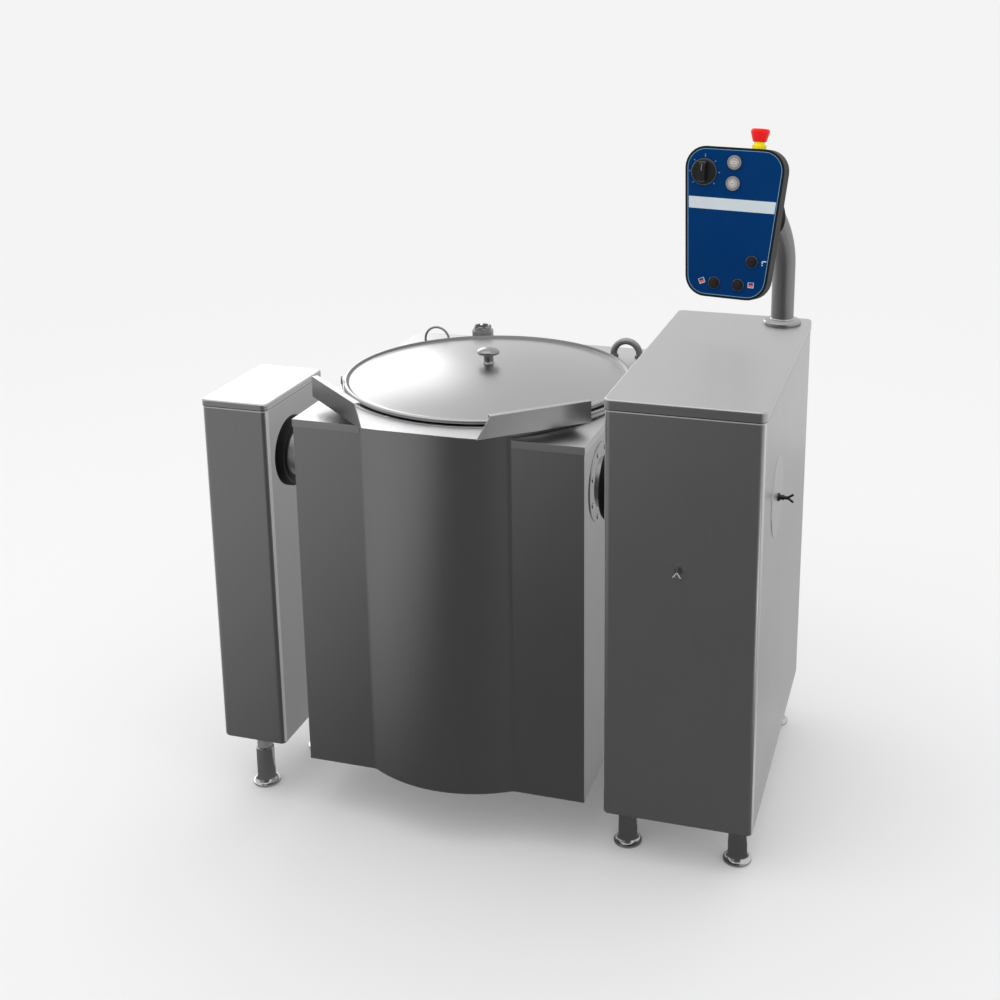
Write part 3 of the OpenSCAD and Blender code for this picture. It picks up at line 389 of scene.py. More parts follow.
def slot_material(slot):
    """The finish of each material slot of the record."""
    look = bpy.context.scene.kettle_looks
    recipes = {
        "pillar_steel": (brushed, steel(), 0.34, GRAIN_UPRIGHT),
        "casing_steel": (brushed, steel(), 0.31, GRAIN_UPRIGHT),
        "cover_steel": (brushed, steel(1.15), 0.4, GRAIN_LEVEL),
        "vessel_steel": (brushed, steel(1.12), 0.3, GRAIN_VESSEL, 0.00002),
        "jacket_steel": (brushed, steel(), 0.45, GRAIN_UPRIGHT),
        "lid_steel": (spun, steel(0.93), 0.31),
        "polished_steel": (polished, steel(1.1), 0.18),
        "frame_steel": (painted, (0.22, 0.24, 0.26), 0.5),
        "bearing_iron": (cast, 0.2, 0.6),
        "gear_steel": (oiled_gear, 0.45, 0.35),
        "heater_metal": (oiled_gear, 0.35, 0.5),
        "motor_paint": (painted, (0.12, 0.25, 0.36), 0.4),
        "mineral_wool": (matted_wool, (0.55, 0.52, 0.32), 0.95),
        "seal_rubber": (soft_rubber, 0.004, 0.5),
        "gland_plastic": (moulded, (0.12, 0.12, 0.125), 0.5),
        "panel_plastic": (
            moulded, (0.008, 0.008, 0.009), 0.5, 900.0, 0.00006, 0.2
        ),
        "panel_foil": (
            moulded, tuple(look.panel_blue), 0.42, 1400.0, 0.00002, 0.02
        ),
        "black_plastic": (moulded, (0.012, 0.012, 0.013), 0.32),
        "grey_plastic": (moulded, (0.42, 0.45, 0.49), 0.4),
        "yellow_plastic": (
            moulded, tuple(look.stop_yellow), 0.3, 900.0, 0.00006, 0.2
        ),
        "red_plastic": (
            moulded, tuple(look.stop_red), 0.28, 900.0, 0.00004, 0.25
        ),
    }
    make, *values = recipes[slot]
    return material(slot, make, *values)


# Modelling helpers


def clear_choice():
    """Nothing selected, and object mode."""
    if bpy.context.object is not None and bpy.context.object.mode != "OBJECT":
        bpy.ops.object.mode_set(mode="OBJECT")
    bpy.ops.object.select_all(action="DESELECT")


def choose(piece):
    clear_choice()
    piece.select_set(True)
    bpy.context.view_layer.objects.active = piece


def settle(piece):
    """Moves the piece's place into its mesh."""
    choose(piece)
    bpy.ops.object.transform_apply(location=True, rotation=True, scale=True)


def apply(piece, kind, **settings):
    """Adds one modifier and applies it."""
    choose(piece)
    modifier = piece.modifiers.new(kind.title(), kind)
    for key, value in settings.items():
        setattr(modifier, key, value)
    bpy.ops.object.modifier_apply(modifier=modifier.name)


def ease_edges(piece, width, segments=2, limit=32):
    apply(
        piece,
        "BEVEL",
        width=width,
        segments=segments,
        limit_method="ANGLE",
        angle_limit=math.radians(limit),
        use_clamp_overlap=True,
        miter_outer="MITER_ARC",
    )


def smooth(piece, limit=35):
    choose(piece)
    bpy.ops.object.shade_smooth_by_angle(angle=math.radians(limit))
    apply(piece, "WEIGHTED_NORMAL", keep_sharp=True)


def dress(piece, body, slot, nodes=(), look=None):
    """Gives the piece its finish, its body and the CAD nodes that it stands for."""
    piece.data.materials.clear()
    piece.data.materials.append(look or slot_material(slot))
    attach(piece, body)
    if nodes:
        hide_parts(*nodes)
    return piece


def round_outside(piece, width):
    """Rounds the edges on the outside of the piece's box, except the lowest ones."""
    touching, least_fold = 0.0002, 0.6
    corners = [Vector(corner) for corner in piece.bound_box]
    least = Vector([min(c[i] for c in corners) for i in range(3)])
    most = Vector([max(c[i] for c in corners) for i in range(3)])
    low = least.z + 1 * MM

    def outside(place):
        if place.z < low:
            return False
        sides = sum(
            min(abs(place[i] - least[i]), abs(place[i] - most[i])) < touching
            for i in (0, 1)
        )
        return sides + (abs(place.z - most.z) < touching) >= 2

    choose(piece)
    bpy.ops.object.mode_set(mode="EDIT")
    bpy.ops.mesh.select_mode(type="EDGE")
    bpy.ops.mesh.select_all(action="DESELECT")
    mesh = bmesh.from_edit_mesh(piece.data)
    for edge in mesh.edges:
        ends = [corner.co for corner in edge.verts]
        folded = edge.calc_face_angle(0) > least_fold
        edge.select_set(folded and outside((ends[0] + ends[1]) / 2))
    bmesh.update_edit_mesh(piece.data)
    bpy.ops.mesh.bevel(offset=width, segments=4, affect="EDGES", profile=0.5)
    bpy.ops.object.mode_set(mode="OBJECT")


def merged_copy(node, name):
    """A copy of a CAD node with its doubled corners merged, in edit mode."""
    clear_choice()
    piece = bpy.data.objects.new(name, frame["nodes"][node].data.copy())
    bpy.context.scene.collection.objects.link(piece)
    choose(piece)
    bpy.ops.object.mode_set(mode="EDIT")
    bpy.ops.mesh.select_all(action="SELECT")
    bpy.ops.mesh.customdata_custom_splitnormals_clear()
    bpy.ops.mesh.remove_doubles(threshold=0.00001)
    return piece


def from_solid(node, edge=0.0, segments=2, shade=35, look=None, outside=0.0):
    """A copy of a CAD node, with eased edges and smooth curves."""
    piece = merged_copy(node, node + "_skin")
    bpy.ops.mesh.dissolve_limited(angle_limit=math.radians(0.4))
    bpy.ops.object.mode_set(mode="OBJECT")
    if outside:
        round_outside(piece, outside)
    if edge:
        ease_edges(piece, edge, segments)
    smooth(piece, shade)
    body = frame["nodes"][node]["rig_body"]
    return dress(piece, body, SLOT_OF[node], [node], look)


def out_of_mirrors(piece):
    """Keeps a piece out of its neighbours' reflections, as in the photograph."""
    piece.visible_glossy = False
    return piece


def turned(name, profile, place=(0, 0, 0), steps=64, shade=35):
    """A closed profile of (radius, height) pairs in mm, spun round the Z axis."""
    profile = [(reach * MM, height * MM) for reach, height in profile]
    clear_choice()
    bpy.ops.mesh.primitive_plane_add(size=1, location=(0, 0, 0))
    piece = bpy.context.object
    piece.name = name
    bpy.ops.object.mode_set(mode="EDIT")
    bpy.ops.mesh.select_mode(type="VERT")
    bpy.ops.mesh.select_all(action="SELECT")
    bpy.ops.mesh.merge(type="CENTER")
    first = Vector((profile[0][0], 0, profile[0][1]))
    bpy.ops.transform.translate(value=first)
    last = first
    for reach, height in profile[1:]:
        there = Vector((reach, 0, height))
        bpy.ops.mesh.extrude_vertices_move(
            TRANSFORM_OT_translate={"value": there - last}
        )
        last = there
    bpy.ops.mesh.extrude_vertices_move(
        TRANSFORM_OT_translate={"value": first - last}
    )
    bpy.ops.mesh.select_all(action="SELECT")
    bpy.ops.mesh.spin(
        steps=steps, angle=math.tau, center=(0, 0, 0), axis=(0, 0, 1)
    )
    bpy.ops.mesh.select_all(action="SELECT")
    bpy.ops.mesh.remove_doubles(threshold=0.000002)
    bpy.ops.mesh.normals_make_consistent(inside=False)
    bpy.ops.object.mode_set(mode="OBJECT")
    piece.location = place
    settle(piece)
    smooth(piece, shade)
    return piece


def bead(across, up, radius, angles, flatness=1.0):
    """Points in mm on a round bead, at angles in degrees, for a turned profile."""
    turns = [math.radians(angle) for angle in angles]
    return [
        (across + radius * math.cos(t), up + radius * flatness * math.sin(t))
        for t in turns
    ]


def boxed(name, size, place=(0, 0, 0)):
    """A block of that size in mm, centred on place."""
    clear_choice()
    bpy.ops.mesh.primitive_cube_add(size=1, location=place)
    piece = bpy.context.object
    piece.name = name
    piece.scale = [length * MM for length in size]
    settle(piece)
    return piece


def joined(name, pieces):
    """Several pieces made one."""
    clear_choice()
    for piece in pieces:
        piece.select_set(True)
    bpy.context.view_layer.objects.active = pieces[0]
    bpy.ops.object.join()
    bpy.context.object.name = name
    return bpy.context.object


def choose_faces(piece, wanted):
    """Edit mode, with the faces selected whose centre and normal pass the test."""
    choose(piece)
    bpy.ops.object.mode_set(mode="EDIT")
    bpy.ops.mesh.select_mode(type="FACE")
    bpy.ops.mesh.select_all(action="DESELECT")
    mesh = bmesh.from_edit_mesh(piece.data)
    for face in mesh.faces:
        face.select_set(wanted(face.calc_center_median(), face.normal))
    mesh.select_flush_mode()
    bmesh.update_edit_mesh(piece.data)


def paint_faces(piece, look, wanted):
    """A second finish for the faces that pass the test."""
    piece.data.materials.append(look)
    choose_faces(piece, wanted)
    piece.active_material_index = len(piece.data.materials) - 1
    bpy.ops.object.material_slot_assign()
    bpy.ops.object.mode_set(mode="OBJECT")


def cut(point, normal, clear=True, fill=False):
    """Cuts the mesh in edit mode, and clears it on the side that normal points to."""
    bpy.ops.mesh.select_all(action="SELECT")
    bpy.ops.mesh.bisect(
        plane_co=point, plane_no=normal, clear_outer=clear, use_fill=fill
    )


def paint_band(piece, look, low, high):
    """A strip of the upright faces between two heights in mm, in another finish."""
    choose(piece)
    bpy.ops.object.mode_set(mode="EDIT")
    for height in (low, high):
        cut((0, 0, height * MM), (0, 0, 1), clear=False)
    bpy.ops.object.mode_set(mode="OBJECT")
    smooth(piece)

    def inside(centre, normal):
        return low * MM < centre.z < high * MM and abs(normal.z) < 0.5

    paint_faces(piece, look, inside)


def aim(piece, direction, place, up=None):
    """Turns a piece built round +Z along a direction, and sets its place."""
    z = Vector(direction).normalized()
    y = Vector(up) if up is not None else Vector((0, 0, 1))
    x = y.cross(z)
    if x.length < 1e-6:
        x = Vector((1, 0, 0))
    x.normalize()
    y = z.cross(x)
    turn = Matrix((x, y, z)).transposed().to_4x4()
    piece.matrix_world = Matrix.Translation(place) @ turn
    settle(piece)
    return piece


KNOB_OFFSET = (-67, 106)
BUTTONS = {
    "light_button": (0, 129.5),
    "power_button": (0, 85),
    "water_button": (56, -78),
    "tilt_up_button": (-25, -130),
    "tilt_down_button": (29, -130),
}


def on_face(across, up, out=0.0):
    """A point of the panel, in mm from its front face's centre."""
    return (
        KNOB_AT
        + FACE_RIGHT * ((across - KNOB_OFFSET[0]) * MM)
        + FACE_UP * ((up - KNOB_OFFSET[1]) * MM)
        + FACE_OUT * (out * MM)
    )


def face_place(point):
    """A point's place on the panel in mm: across, up and out."""
    away = Vector(point) - on_face(0, 0)
    return (
        away.dot(FACE_RIGHT) / MM,
        away.dot(FACE_UP) / MM,
        away.dot(FACE_OUT) / MM,
    )


def on_panel(piece, across, up, out=0.0):
    """Turns a piece built flat, with Z outwards and Y up, and sets it on the panel."""
    return aim(piece, FACE_OUT, on_face(across, up, out), FACE_UP)


# User settings


class KettleLooks(bpy.types.PropertyGroup):
    """Colours and finish of the kettle."""

    steel_tone: bpy.props.FloatProperty(
        name="Steel tone",
        description="How bright the sheet steel is",
        default=0.42,
        min=0.1,
        max=0.8,
    )
    panel_blue: bpy.props.FloatVectorProperty(
        name="Panel blue",
        description="Colour of the control panel's face",
        subtype="COLOR",
        size=3,
        default=(0.0, 0.034, 0.142),
        min=0,
        max=1,
    )
    stop_red: bpy.props.FloatVectorProperty(
        name="Stop red",
        description="Colour of the stop button's head",
        subtype="COLOR",
        size=3,
        default=(0.92, 0.006, 0.004),
        min=0,
        max=1,
    )
    stop_yellow: bpy.props.FloatVectorProperty(
        name="Stop yellow",
        description="Colour of the stop button's collar",
        subtype="COLOR",
        size=3,
        default=(0.95, 0.80, 0.01),
        min=0,
        max=1,
    )
    edge: bpy.props.FloatProperty(
        name="Sheet edge",
        description="Rounding of folded sheet edges",
        default=1.2 * MM,
        min=0.2 * MM,
        max=3 * MM,
        subtype="DISTANCE",
        unit="LENGTH",
    )


class KettleStage(bpy.types.PropertyGroup):
    """Camera, floor and lamps."""

    lens: bpy.props.FloatProperty(
        name="Lens", description="Focal length in mm", default=50.738, min=10, max=300
    )
    floor_grey: bpy.props.FloatProperty(
        name="Floor", description="How bright the floor is", default=0.8, min=0, max=1
    )
    world_light: bpy.props.FloatProperty(
        name="Surroundings",
        description="Strength of the even light from all round",
        default=1.0,
        min=0,
        max=3,
    )


# Pieces


class KETTLE_OT_pillars(bpy.types.Operator):
    """Pillar housings and their covers"""

    bl_idname = "kettle.pillars"
    bl_label = "Pillars"

    def execute(self, context):
        edge = context.scene.kettle_looks.edge

        def sheet(name, value, rough, flat=0.0):
            return material(name, brushed, value, rough, GRAIN_UPRIGHT, flat=flat)

        # Painted shade: the wide pillar gets its own copy of the pillar steel, a little
        # darker and a little less metallic than the narrow pillar's.
        wide_painted_shade = sheet("wide_pillar", steel(0.98), 0.36, 0.06)
        # Painted highlight: a pale, half-metallic band on the housing just under the
        # cover's edge.
        light = sheet("seam_light", 0.55, 0.3, 0.5)
        # Painted shade: a dark band round the cover's lowest edge, for the shadow in
        # the seam.
        dark = sheet("seam_dark", steel(0.3), 0.5)
        # Painted highlight: a pale, half-metallic finish for the rounded front corners
        # of the housings.
        folded = sheet("folded_corner", 0.6, 0.36, 0.5)

        # Picks the rounded front corner faces that get the painted highlight.
        def front_corner(centre, normal):
            upright_in_front = abs(normal.z) < 0.3 and normal.y < 0
            return upright_in_front and 0.75 < abs(normal.x) < 0.985

        # The right housing takes the wide pillar's painted shade.
        for side, look in (("right", wide_painted_shade), ("left", None)):
            cover = from_solid(side + "_cover", 0.5 * MM, outside=edge * 2.2)
            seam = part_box(side + "_cover")[0].z / MM
            # The seam's painted shade, on the cover.
            paint_band(cover, dark, seam - 1, seam + 1.5)
            housing = from_solid(side + "_housing", 0.6 * MM, look=look)
            # The painted highlight under the seam, on the housing.
            paint_band(housing, light, seam - 3.2, seam - 0.8)
            # The painted corner highlight.
            paint_faces(housing, folded, front_corner)
        return {"FINISHED"}


class KETTLE_OT_feet(bpy.types.Operator):
    """Leg tubes and levelling feet"""

    bl_idname = "kettle.feet"
    bl_label = "Legs and feet"

    def execute(self, context):
        bell = material("foot_bell", polished, steel(1.2), 0.2)
        tube = material(
            "leg_tube", brushed, steel(1.1), 0.38, GRAIN_UPRIGHT, flat=0.35
        )
        for node in [n for n in frame["nodes"] if n.startswith("foot_")]:
            from_solid(node, 0.8 * MM, 3, look=bell)
        for node in ("right_legs", "left_legs"):
            from_solid(node, 0.5 * MM, look=tube)
        return {"FINISHED"}


class KETTLE_OT_trunnions(bpy.types.Operator):
    """Trunnion pipes, flange rings, screws and seals"""

    bl_idname = "kettle.trunnions"
    bl_label = "Trunnions"

    def execute(self, context):
        pipe = material("trunnion_pipe", brushed, steel(1.25), 0.36, (30, 500, 500))
        for node in ("left_trunnion", "right_trunnion"):
            out_of_mirrors(from_solid(node, 0.6 * MM, look=pipe))
        ring = slot_material("casing_steel")
        out_of_mirrors(from_solid("trunnion_flanges", 0.8 * MM, 3, look=ring))
        out_of_mirrors(from_solid("flange_screws", 0.9 * MM, 3))
        for node in ("left_seal", "right_seal"):
            out_of_mirrors(from_solid(node, 1.0 * MM, 3))
        return {"FINISHED"}


class KETTLE_OT_drive(bpy.types.Operator):
    """Frames, bearings, gears and gearmotor inside the pillars"""

    bl_idname = "kettle.drive"
    bl_label = "Tilt drive"

    def execute(self, context):
        for node in ("right_frame", "left_frame", "right_bearing", "left_bearing"):
            from_solid(node, 1.0 * MM)
        for node in ("motor_bracket", "gearmotor", "cable_gland"):
            from_solid(node, 1.0 * MM)
        for node in ("sector_gear", "pinion"):
            from_solid(node, 0.3 * MM)
        return {"FINISHED"}


class KETTLE_OT_casing(bpy.types.Operator):
    """Casing, top plate, bottom pan and neck"""

    bl_idname = "kettle.casing"
    bl_label = "Casing"

    def execute(self, context):
        edge = context.scene.kettle_looks.edge
        bright = material(
            "bright_plate", brushed, steel(1.3), 0.42, GRAIN_LEVEL, 0.00002
        )
        from_solid("casing", 0.9 * MM, shade=25)
        out_of_mirrors(from_solid("top_plate", edge, look=bright))
        from_solid("bottom_pan", 0.4 * MM)
        from_solid("neck", edge)
        return {"FINISHED"}


class KETTLE_OT_vessel(bpy.types.Operator):
    """Bowl, jacket, insulation, heating elements and rim"""

    bl_idname = "kettle.vessel"
    bl_label = "Vessel"

    def execute(self, context):
        for node in ("bowl", "steam_jacket", "insulation", "heating_elements"):
            from_solid(node, 0.5 * MM)
        from_solid("rim", 0.6 * MM)
        lip_side = -0.276
        roll = turned(
            "rim_roll",
            bead(309.5, 887.2, 5.2, range(0, 360, 24)),
            (BOWL_AXIS.x, BOWL_AXIS.y, 0),
            180,
            60,
        )
        choose(roll)
        bpy.ops.object.mode_set(mode="EDIT")
        cut((0, lip_side, 0), (0, -1, 0), fill=True)
        bpy.ops.object.mode_set(mode="OBJECT")
        dress(roll, "kettle", "vessel_steel")
        return {"FINISHED"}


class KETTLE_OT_spout(bpy.types.Operator):
    """Spout floor and wings"""

    bl_idname = "kettle.spout"
    bl_label = "Spout"

    def execute(self, context):
        smooth_steel = material(
            "lip_steel", brushed, steel(1.35), 0.34, (500, 8, 500), 0.00001
        )
        from_solid("spout_floor", 0.5 * MM, look=smooth_steel)
        shaded = material(
            "shaded_wing", brushed, steel(0.75), 0.32, GRAIN_VESSEL, 0.00002
        )
        for node, look in (("left_wing", shaded), ("right_wing", None)):
            out_of_mirrors(from_solid(node, 0.7 * MM, look=look))
        return {"FINISHED"}


class KETTLE_OT_lid(bpy.types.Operator):
    """Lid, its seal and its knob"""

    bl_idname = "kettle.lid"
    bl_label = "Lid"

    def execute(self, context):
        axis = (BOWL_AXIS.x, BOWL_AXIS.y, 0)
        reach, rise, flat = 286.0, 29.0, 898.8
        curve = (reach**2 + rise**2) / (2 * rise)
        steps = 18

        def dome(share, drop):
            across = reach * share
            height = math.sqrt(curve**2 - across**2) - curve
            return (across, flat + rise + height - drop)

        outside = [dome(i / steps, 0) for i in range(steps)]
        ledge = [
            (285.2, 899.05), (287.0, 898.85), (289.5, 898.8), (293.2, 898.8),
            (294.8, 899.0), (296.1, 899.7),
        ]
        edge = bead(301.0, 898.4, 4.9, range(155, -125, -20))
        under = [(297.2, 896.6), (295.0, 896.8), (286.0, 896.8)]
        inside = [dome(1 - i / steps, 2.0) for i in range(steps + 1)]
        shell = turned(
            "lid_dome", outside + ledge + edge + under + inside[1:], axis, 180, 40
        )
        dress(shell, "lid", "lid_steel", ["lid_shell"])
        # Painted shade: the inward faces of the lid's bead get a darker copy of the lid
        # steel, which shows as a dark band at the back.
        bead_painted_shade = material("lid_groove", spun, steel(0.4), 0.35)
        ledge_end, ledge_top = 294.5 * MM, 898.5 * MM

        def inward(centre, normal):
            out = Vector((centre.x - BOWL_AXIS.x, centre.y - BOWL_AXIS.y, 0))
            on_bead = out.length > ledge_end and centre.z > ledge_top
            return on_bead and normal.dot(out) < -0.05

        # Paints the shade onto the bead's inward faces.
        paint_faces(shell, bead_painted_shade, inward)

        knob = turned(
            "lid_mushroom",
            [
                (0, 927.6), (14.2, 927.6), (13.4, 928.9), (11.9, 930.3), (10.9, 932.5),
                (10.6, 936), (10.7, 943), (11.6, 945.6), (13.8, 946.9), (20.4, 947.4),
                (22.9, 948.3), (24.1, 950.3), (24.2, 952.4), (23.3, 954.6),
                (21.0, 956.6), (17.4, 958.4), (12.0, 960.0), (6.0, 960.9), (0, 961.2),
            ],
            axis,
            64,
            50,
        )
        worn = material("knob_steel", polished, steel(0.7), 0.24)
        dress(knob, "lid", SLOT_OF["lid_knob"], ["lid_knob"], worn)
        from_solid("lid_seal", 0.8 * MM)
        return {"FINISHED"}


class KETTLE_OT_fittings(bpy.types.Operator):
    """Loop, vent pipe, filling stub and fork hooks"""

    bl_idname = "kettle.fittings"
    bl_label = "Fittings"

    def execute(self, context):
        worn = material(
            "worn_fittings", brushed, steel(0.8), 0.46, (90, 90, 90), flat=0.3
        )
        for node in ("rear_hardware", "filling_stub", "stub_crown"):
            from_solid(node, 0.4 * MM, look=worn)
        dark = material("dark_fork", polished, 0.07, 0.35)
        for node, look in (
            ("side_plate", None),
            ("side_hook", dark),
            ("front_hook", None),
        ):
            from_solid(node, 0.4 * MM, look=look)
        return {"FINISHED"}


class KETTLE_OT_post(bpy.types.Operator):
    """Bent post and its flange"""

    bl_idname = "kettle.post"
    bl_label = "Post"

    def execute(self, context):
        flange = material("flange_steel", polished, steel(0.85), 0.3)
        tube = material("post_tube", brushed, steel(0.62), 0.42, GRAIN_UPRIGHT)
        from_solid("post_flange", 1.2 * MM, 3, look=flange)
        out_of_mirrors(from_solid("control_post", look=tube))
        foot = middle("post_flange")
        weld = turned(
            "post_weld",
            bead(25.0, 986.6, 2.2, range(0, 360, 30), 2.0 / 2.2),
            (foot.x, foot.y, 0),
            72,
            60,
        )
        dress(weld, "stand", "polished_steel")
        return {"FINISHED"}


class KETTLE_OT_panel(bpy.types.Operator):
    """Panel housing, its blue face and the plain print on it"""

    bl_idname = "kettle.panel"
    bl_label = "Panel"

    def execute(self, context):
        out_of_mirrors(from_solid("panel_housing", 1.6 * MM, 3))
        out_of_mirrors(from_solid("panel_face", 0.15 * MM))

        def ink(name, colour):
            return material(
                "print_" + name, moulded, colour, 0.4, 1200.0, 0.00001, 0.1
            )

        pale = ink("pale", (0.60, 0.66, 0.70))
        blue = ink("blue", (0.16, 0.36, 0.52))
        warm = ink("warm", (0.85, 0.10, 0.10))
        edge_line = outline_ring("face_line", 0.3, 1.2)
        dress(edge_line, "stand", "panel_foil", look=blue)
        stripe = outline_band("face_stripe", 27, 52)
        out_of_mirrors(dress(stripe, "stand", "panel_foil", look=pale))

        marks = []
        for step in range(7):
            turn = math.radians(-135 + 45 * step)
            long = 6.4 if step == 3 else 3.2
            mark = boxed("mark", (1.7, long, 0.3))
            spin = Matrix.Rotation(-turn, 4, "Z")
            mark.matrix_world = spin @ Matrix.Translation((0, (32 + long / 2) * MM, 0))
            settle(mark)
            marks.append(mark)
        ticks = joined("knob_ticks", marks)
        dress(on_panel(ticks, *KNOB_OFFSET, 0.1), "stand", "panel_foil", look=blue)

        dress(on_panel(tap_sign(), 83, -79, 0.1), "stand", "panel_foil", look=pale)
        for name, across, lean in (("up_sign", -54, 24), ("down_sign", 57, 0)):
            vessel, fill = vessel_sign(name, lean)
            dress(on_panel(vessel, across, -128, 0.1), "stand", "panel_foil", look=pale)
            dress(on_panel(fill, across, -128, 0.1), "stand", "panel_foil", look=warm)
        return {"FINISHED"}


HOLE_REACH = 20


def face_sheet(name):
    """The outline of the panel's face as one flat sheet."""
    holes = (KNOB_OFFSET, *BUTTONS.values())
    sheet = merged_copy("panel_face", name)
    choose_faces(sheet, lambda centre, normal: abs(normal.dot(FACE_OUT)) > 0.5)
    bpy.ops.mesh.delete(type="FACE")
    mesh = bmesh.from_edit_mesh(sheet.data)
    bpy.ops.mesh.select_mode(type="VERT")
    bpy.ops.mesh.select_all(action="DESELECT")
    for corner in mesh.verts:
        across, up, out = face_place(corner.co)
        near = any(math.hypot(across - x, up - y) < HOLE_REACH for x, y in holes)
        corner.select_set(near or out < -0.5)
    mesh.select_flush_mode()
    bmesh.update_edit_mesh(sheet.data)
    bpy.ops.mesh.delete(type="VERT")
    bpy.ops.mesh.select_all(action="SELECT")
    bpy.ops.mesh.edge_face_add()
    mesh = bmesh.from_edit_mesh(sheet.data)
    mesh.faces.ensure_lookup_table()
    if mesh.faces[0].normal.dot(FACE_OUT) < 0:
        bpy.ops.mesh.flip_normals()
    return sheet


def raise_sheet(sheet, height):
    """Gives a flat sheet a small thickness, outwards."""
    bpy.ops.object.mode_set(mode="OBJECT")
    apply(sheet, "SOLIDIFY", thickness=height * MM, offset=1.0)
    return sheet


def outline_ring(name, inset, width):
    """A thin line along the edge of the panel's face."""
    sheet = face_sheet(name)
    bpy.ops.mesh.select_mode(type="FACE")
    bpy.ops.mesh.select_all(action="SELECT")
    bpy.ops.mesh.inset(thickness=inset * MM)
    bpy.ops.mesh.select_all(action="INVERT")
    bpy.ops.mesh.delete(type="FACE")
    bpy.ops.mesh.select_all(action="SELECT")
    bpy.ops.mesh.inset(thickness=width * MM)
    bpy.ops.mesh.delete(type="FACE")
    return raise_sheet(sheet, 0.15)


def outline_band(name, low, high):
    """A straight band right across the panel's face."""
    sheet = face_sheet(name)
    bpy.ops.mesh.select_mode(type="FACE")
    bpy.ops.mesh.select_all(action="SELECT")
    bpy.ops.mesh.inset(thickness=3 * MM)
    bpy.ops.mesh.select_all(action="INVERT")
    bpy.ops.mesh.delete(type="FACE")
    for up, way in ((low, -1), (high, 1)):
        cut(on_face(0, up), FACE_UP * way)
    return raise_sheet(sheet, 0.12)


def tap_sign():
    """A plain water tap: a spout and a drop."""
    return joined(
        "tap_sign",
        [
            boxed("part", (9, 2.4, 0.3), (0, 4 * MM, 0)),
            boxed("part", (2.4, 6, 0.3), (-4.5 * MM, 1.4 * MM, 0)),
            boxed("part", (2.4, 2.4, 0.3), (-4.5 * MM, -4.5 * MM, 0)),
        ],
    )


def vessel_sign(name, lean):
    """A plain open vessel and its filling, leaning by some degrees."""
    vessel = joined(
        name,
        [
            boxed("part", (1.3, 10, 0.3), (-6 * MM, 0, 0)),
            boxed("part", (1.3, 10, 0.3), (6 * MM, 0, 0)),
            boxed("part", (13.3, 1.3, 0.3), (0, -5.3 * MM, 0)),
            boxed("part", (13.3, 1.0, 0.3), (0, 5.2 * MM, 0)),
        ],
    )
    fill = boxed(name + "_fill", (9.8, 5.0, 0.3), (0, -1.9 * MM, 0))
    for piece in (vessel, fill):
        piece.matrix_world = Matrix.Rotation(math.radians(lean), 4, "Z")
        settle(piece)
    return vessel, fill


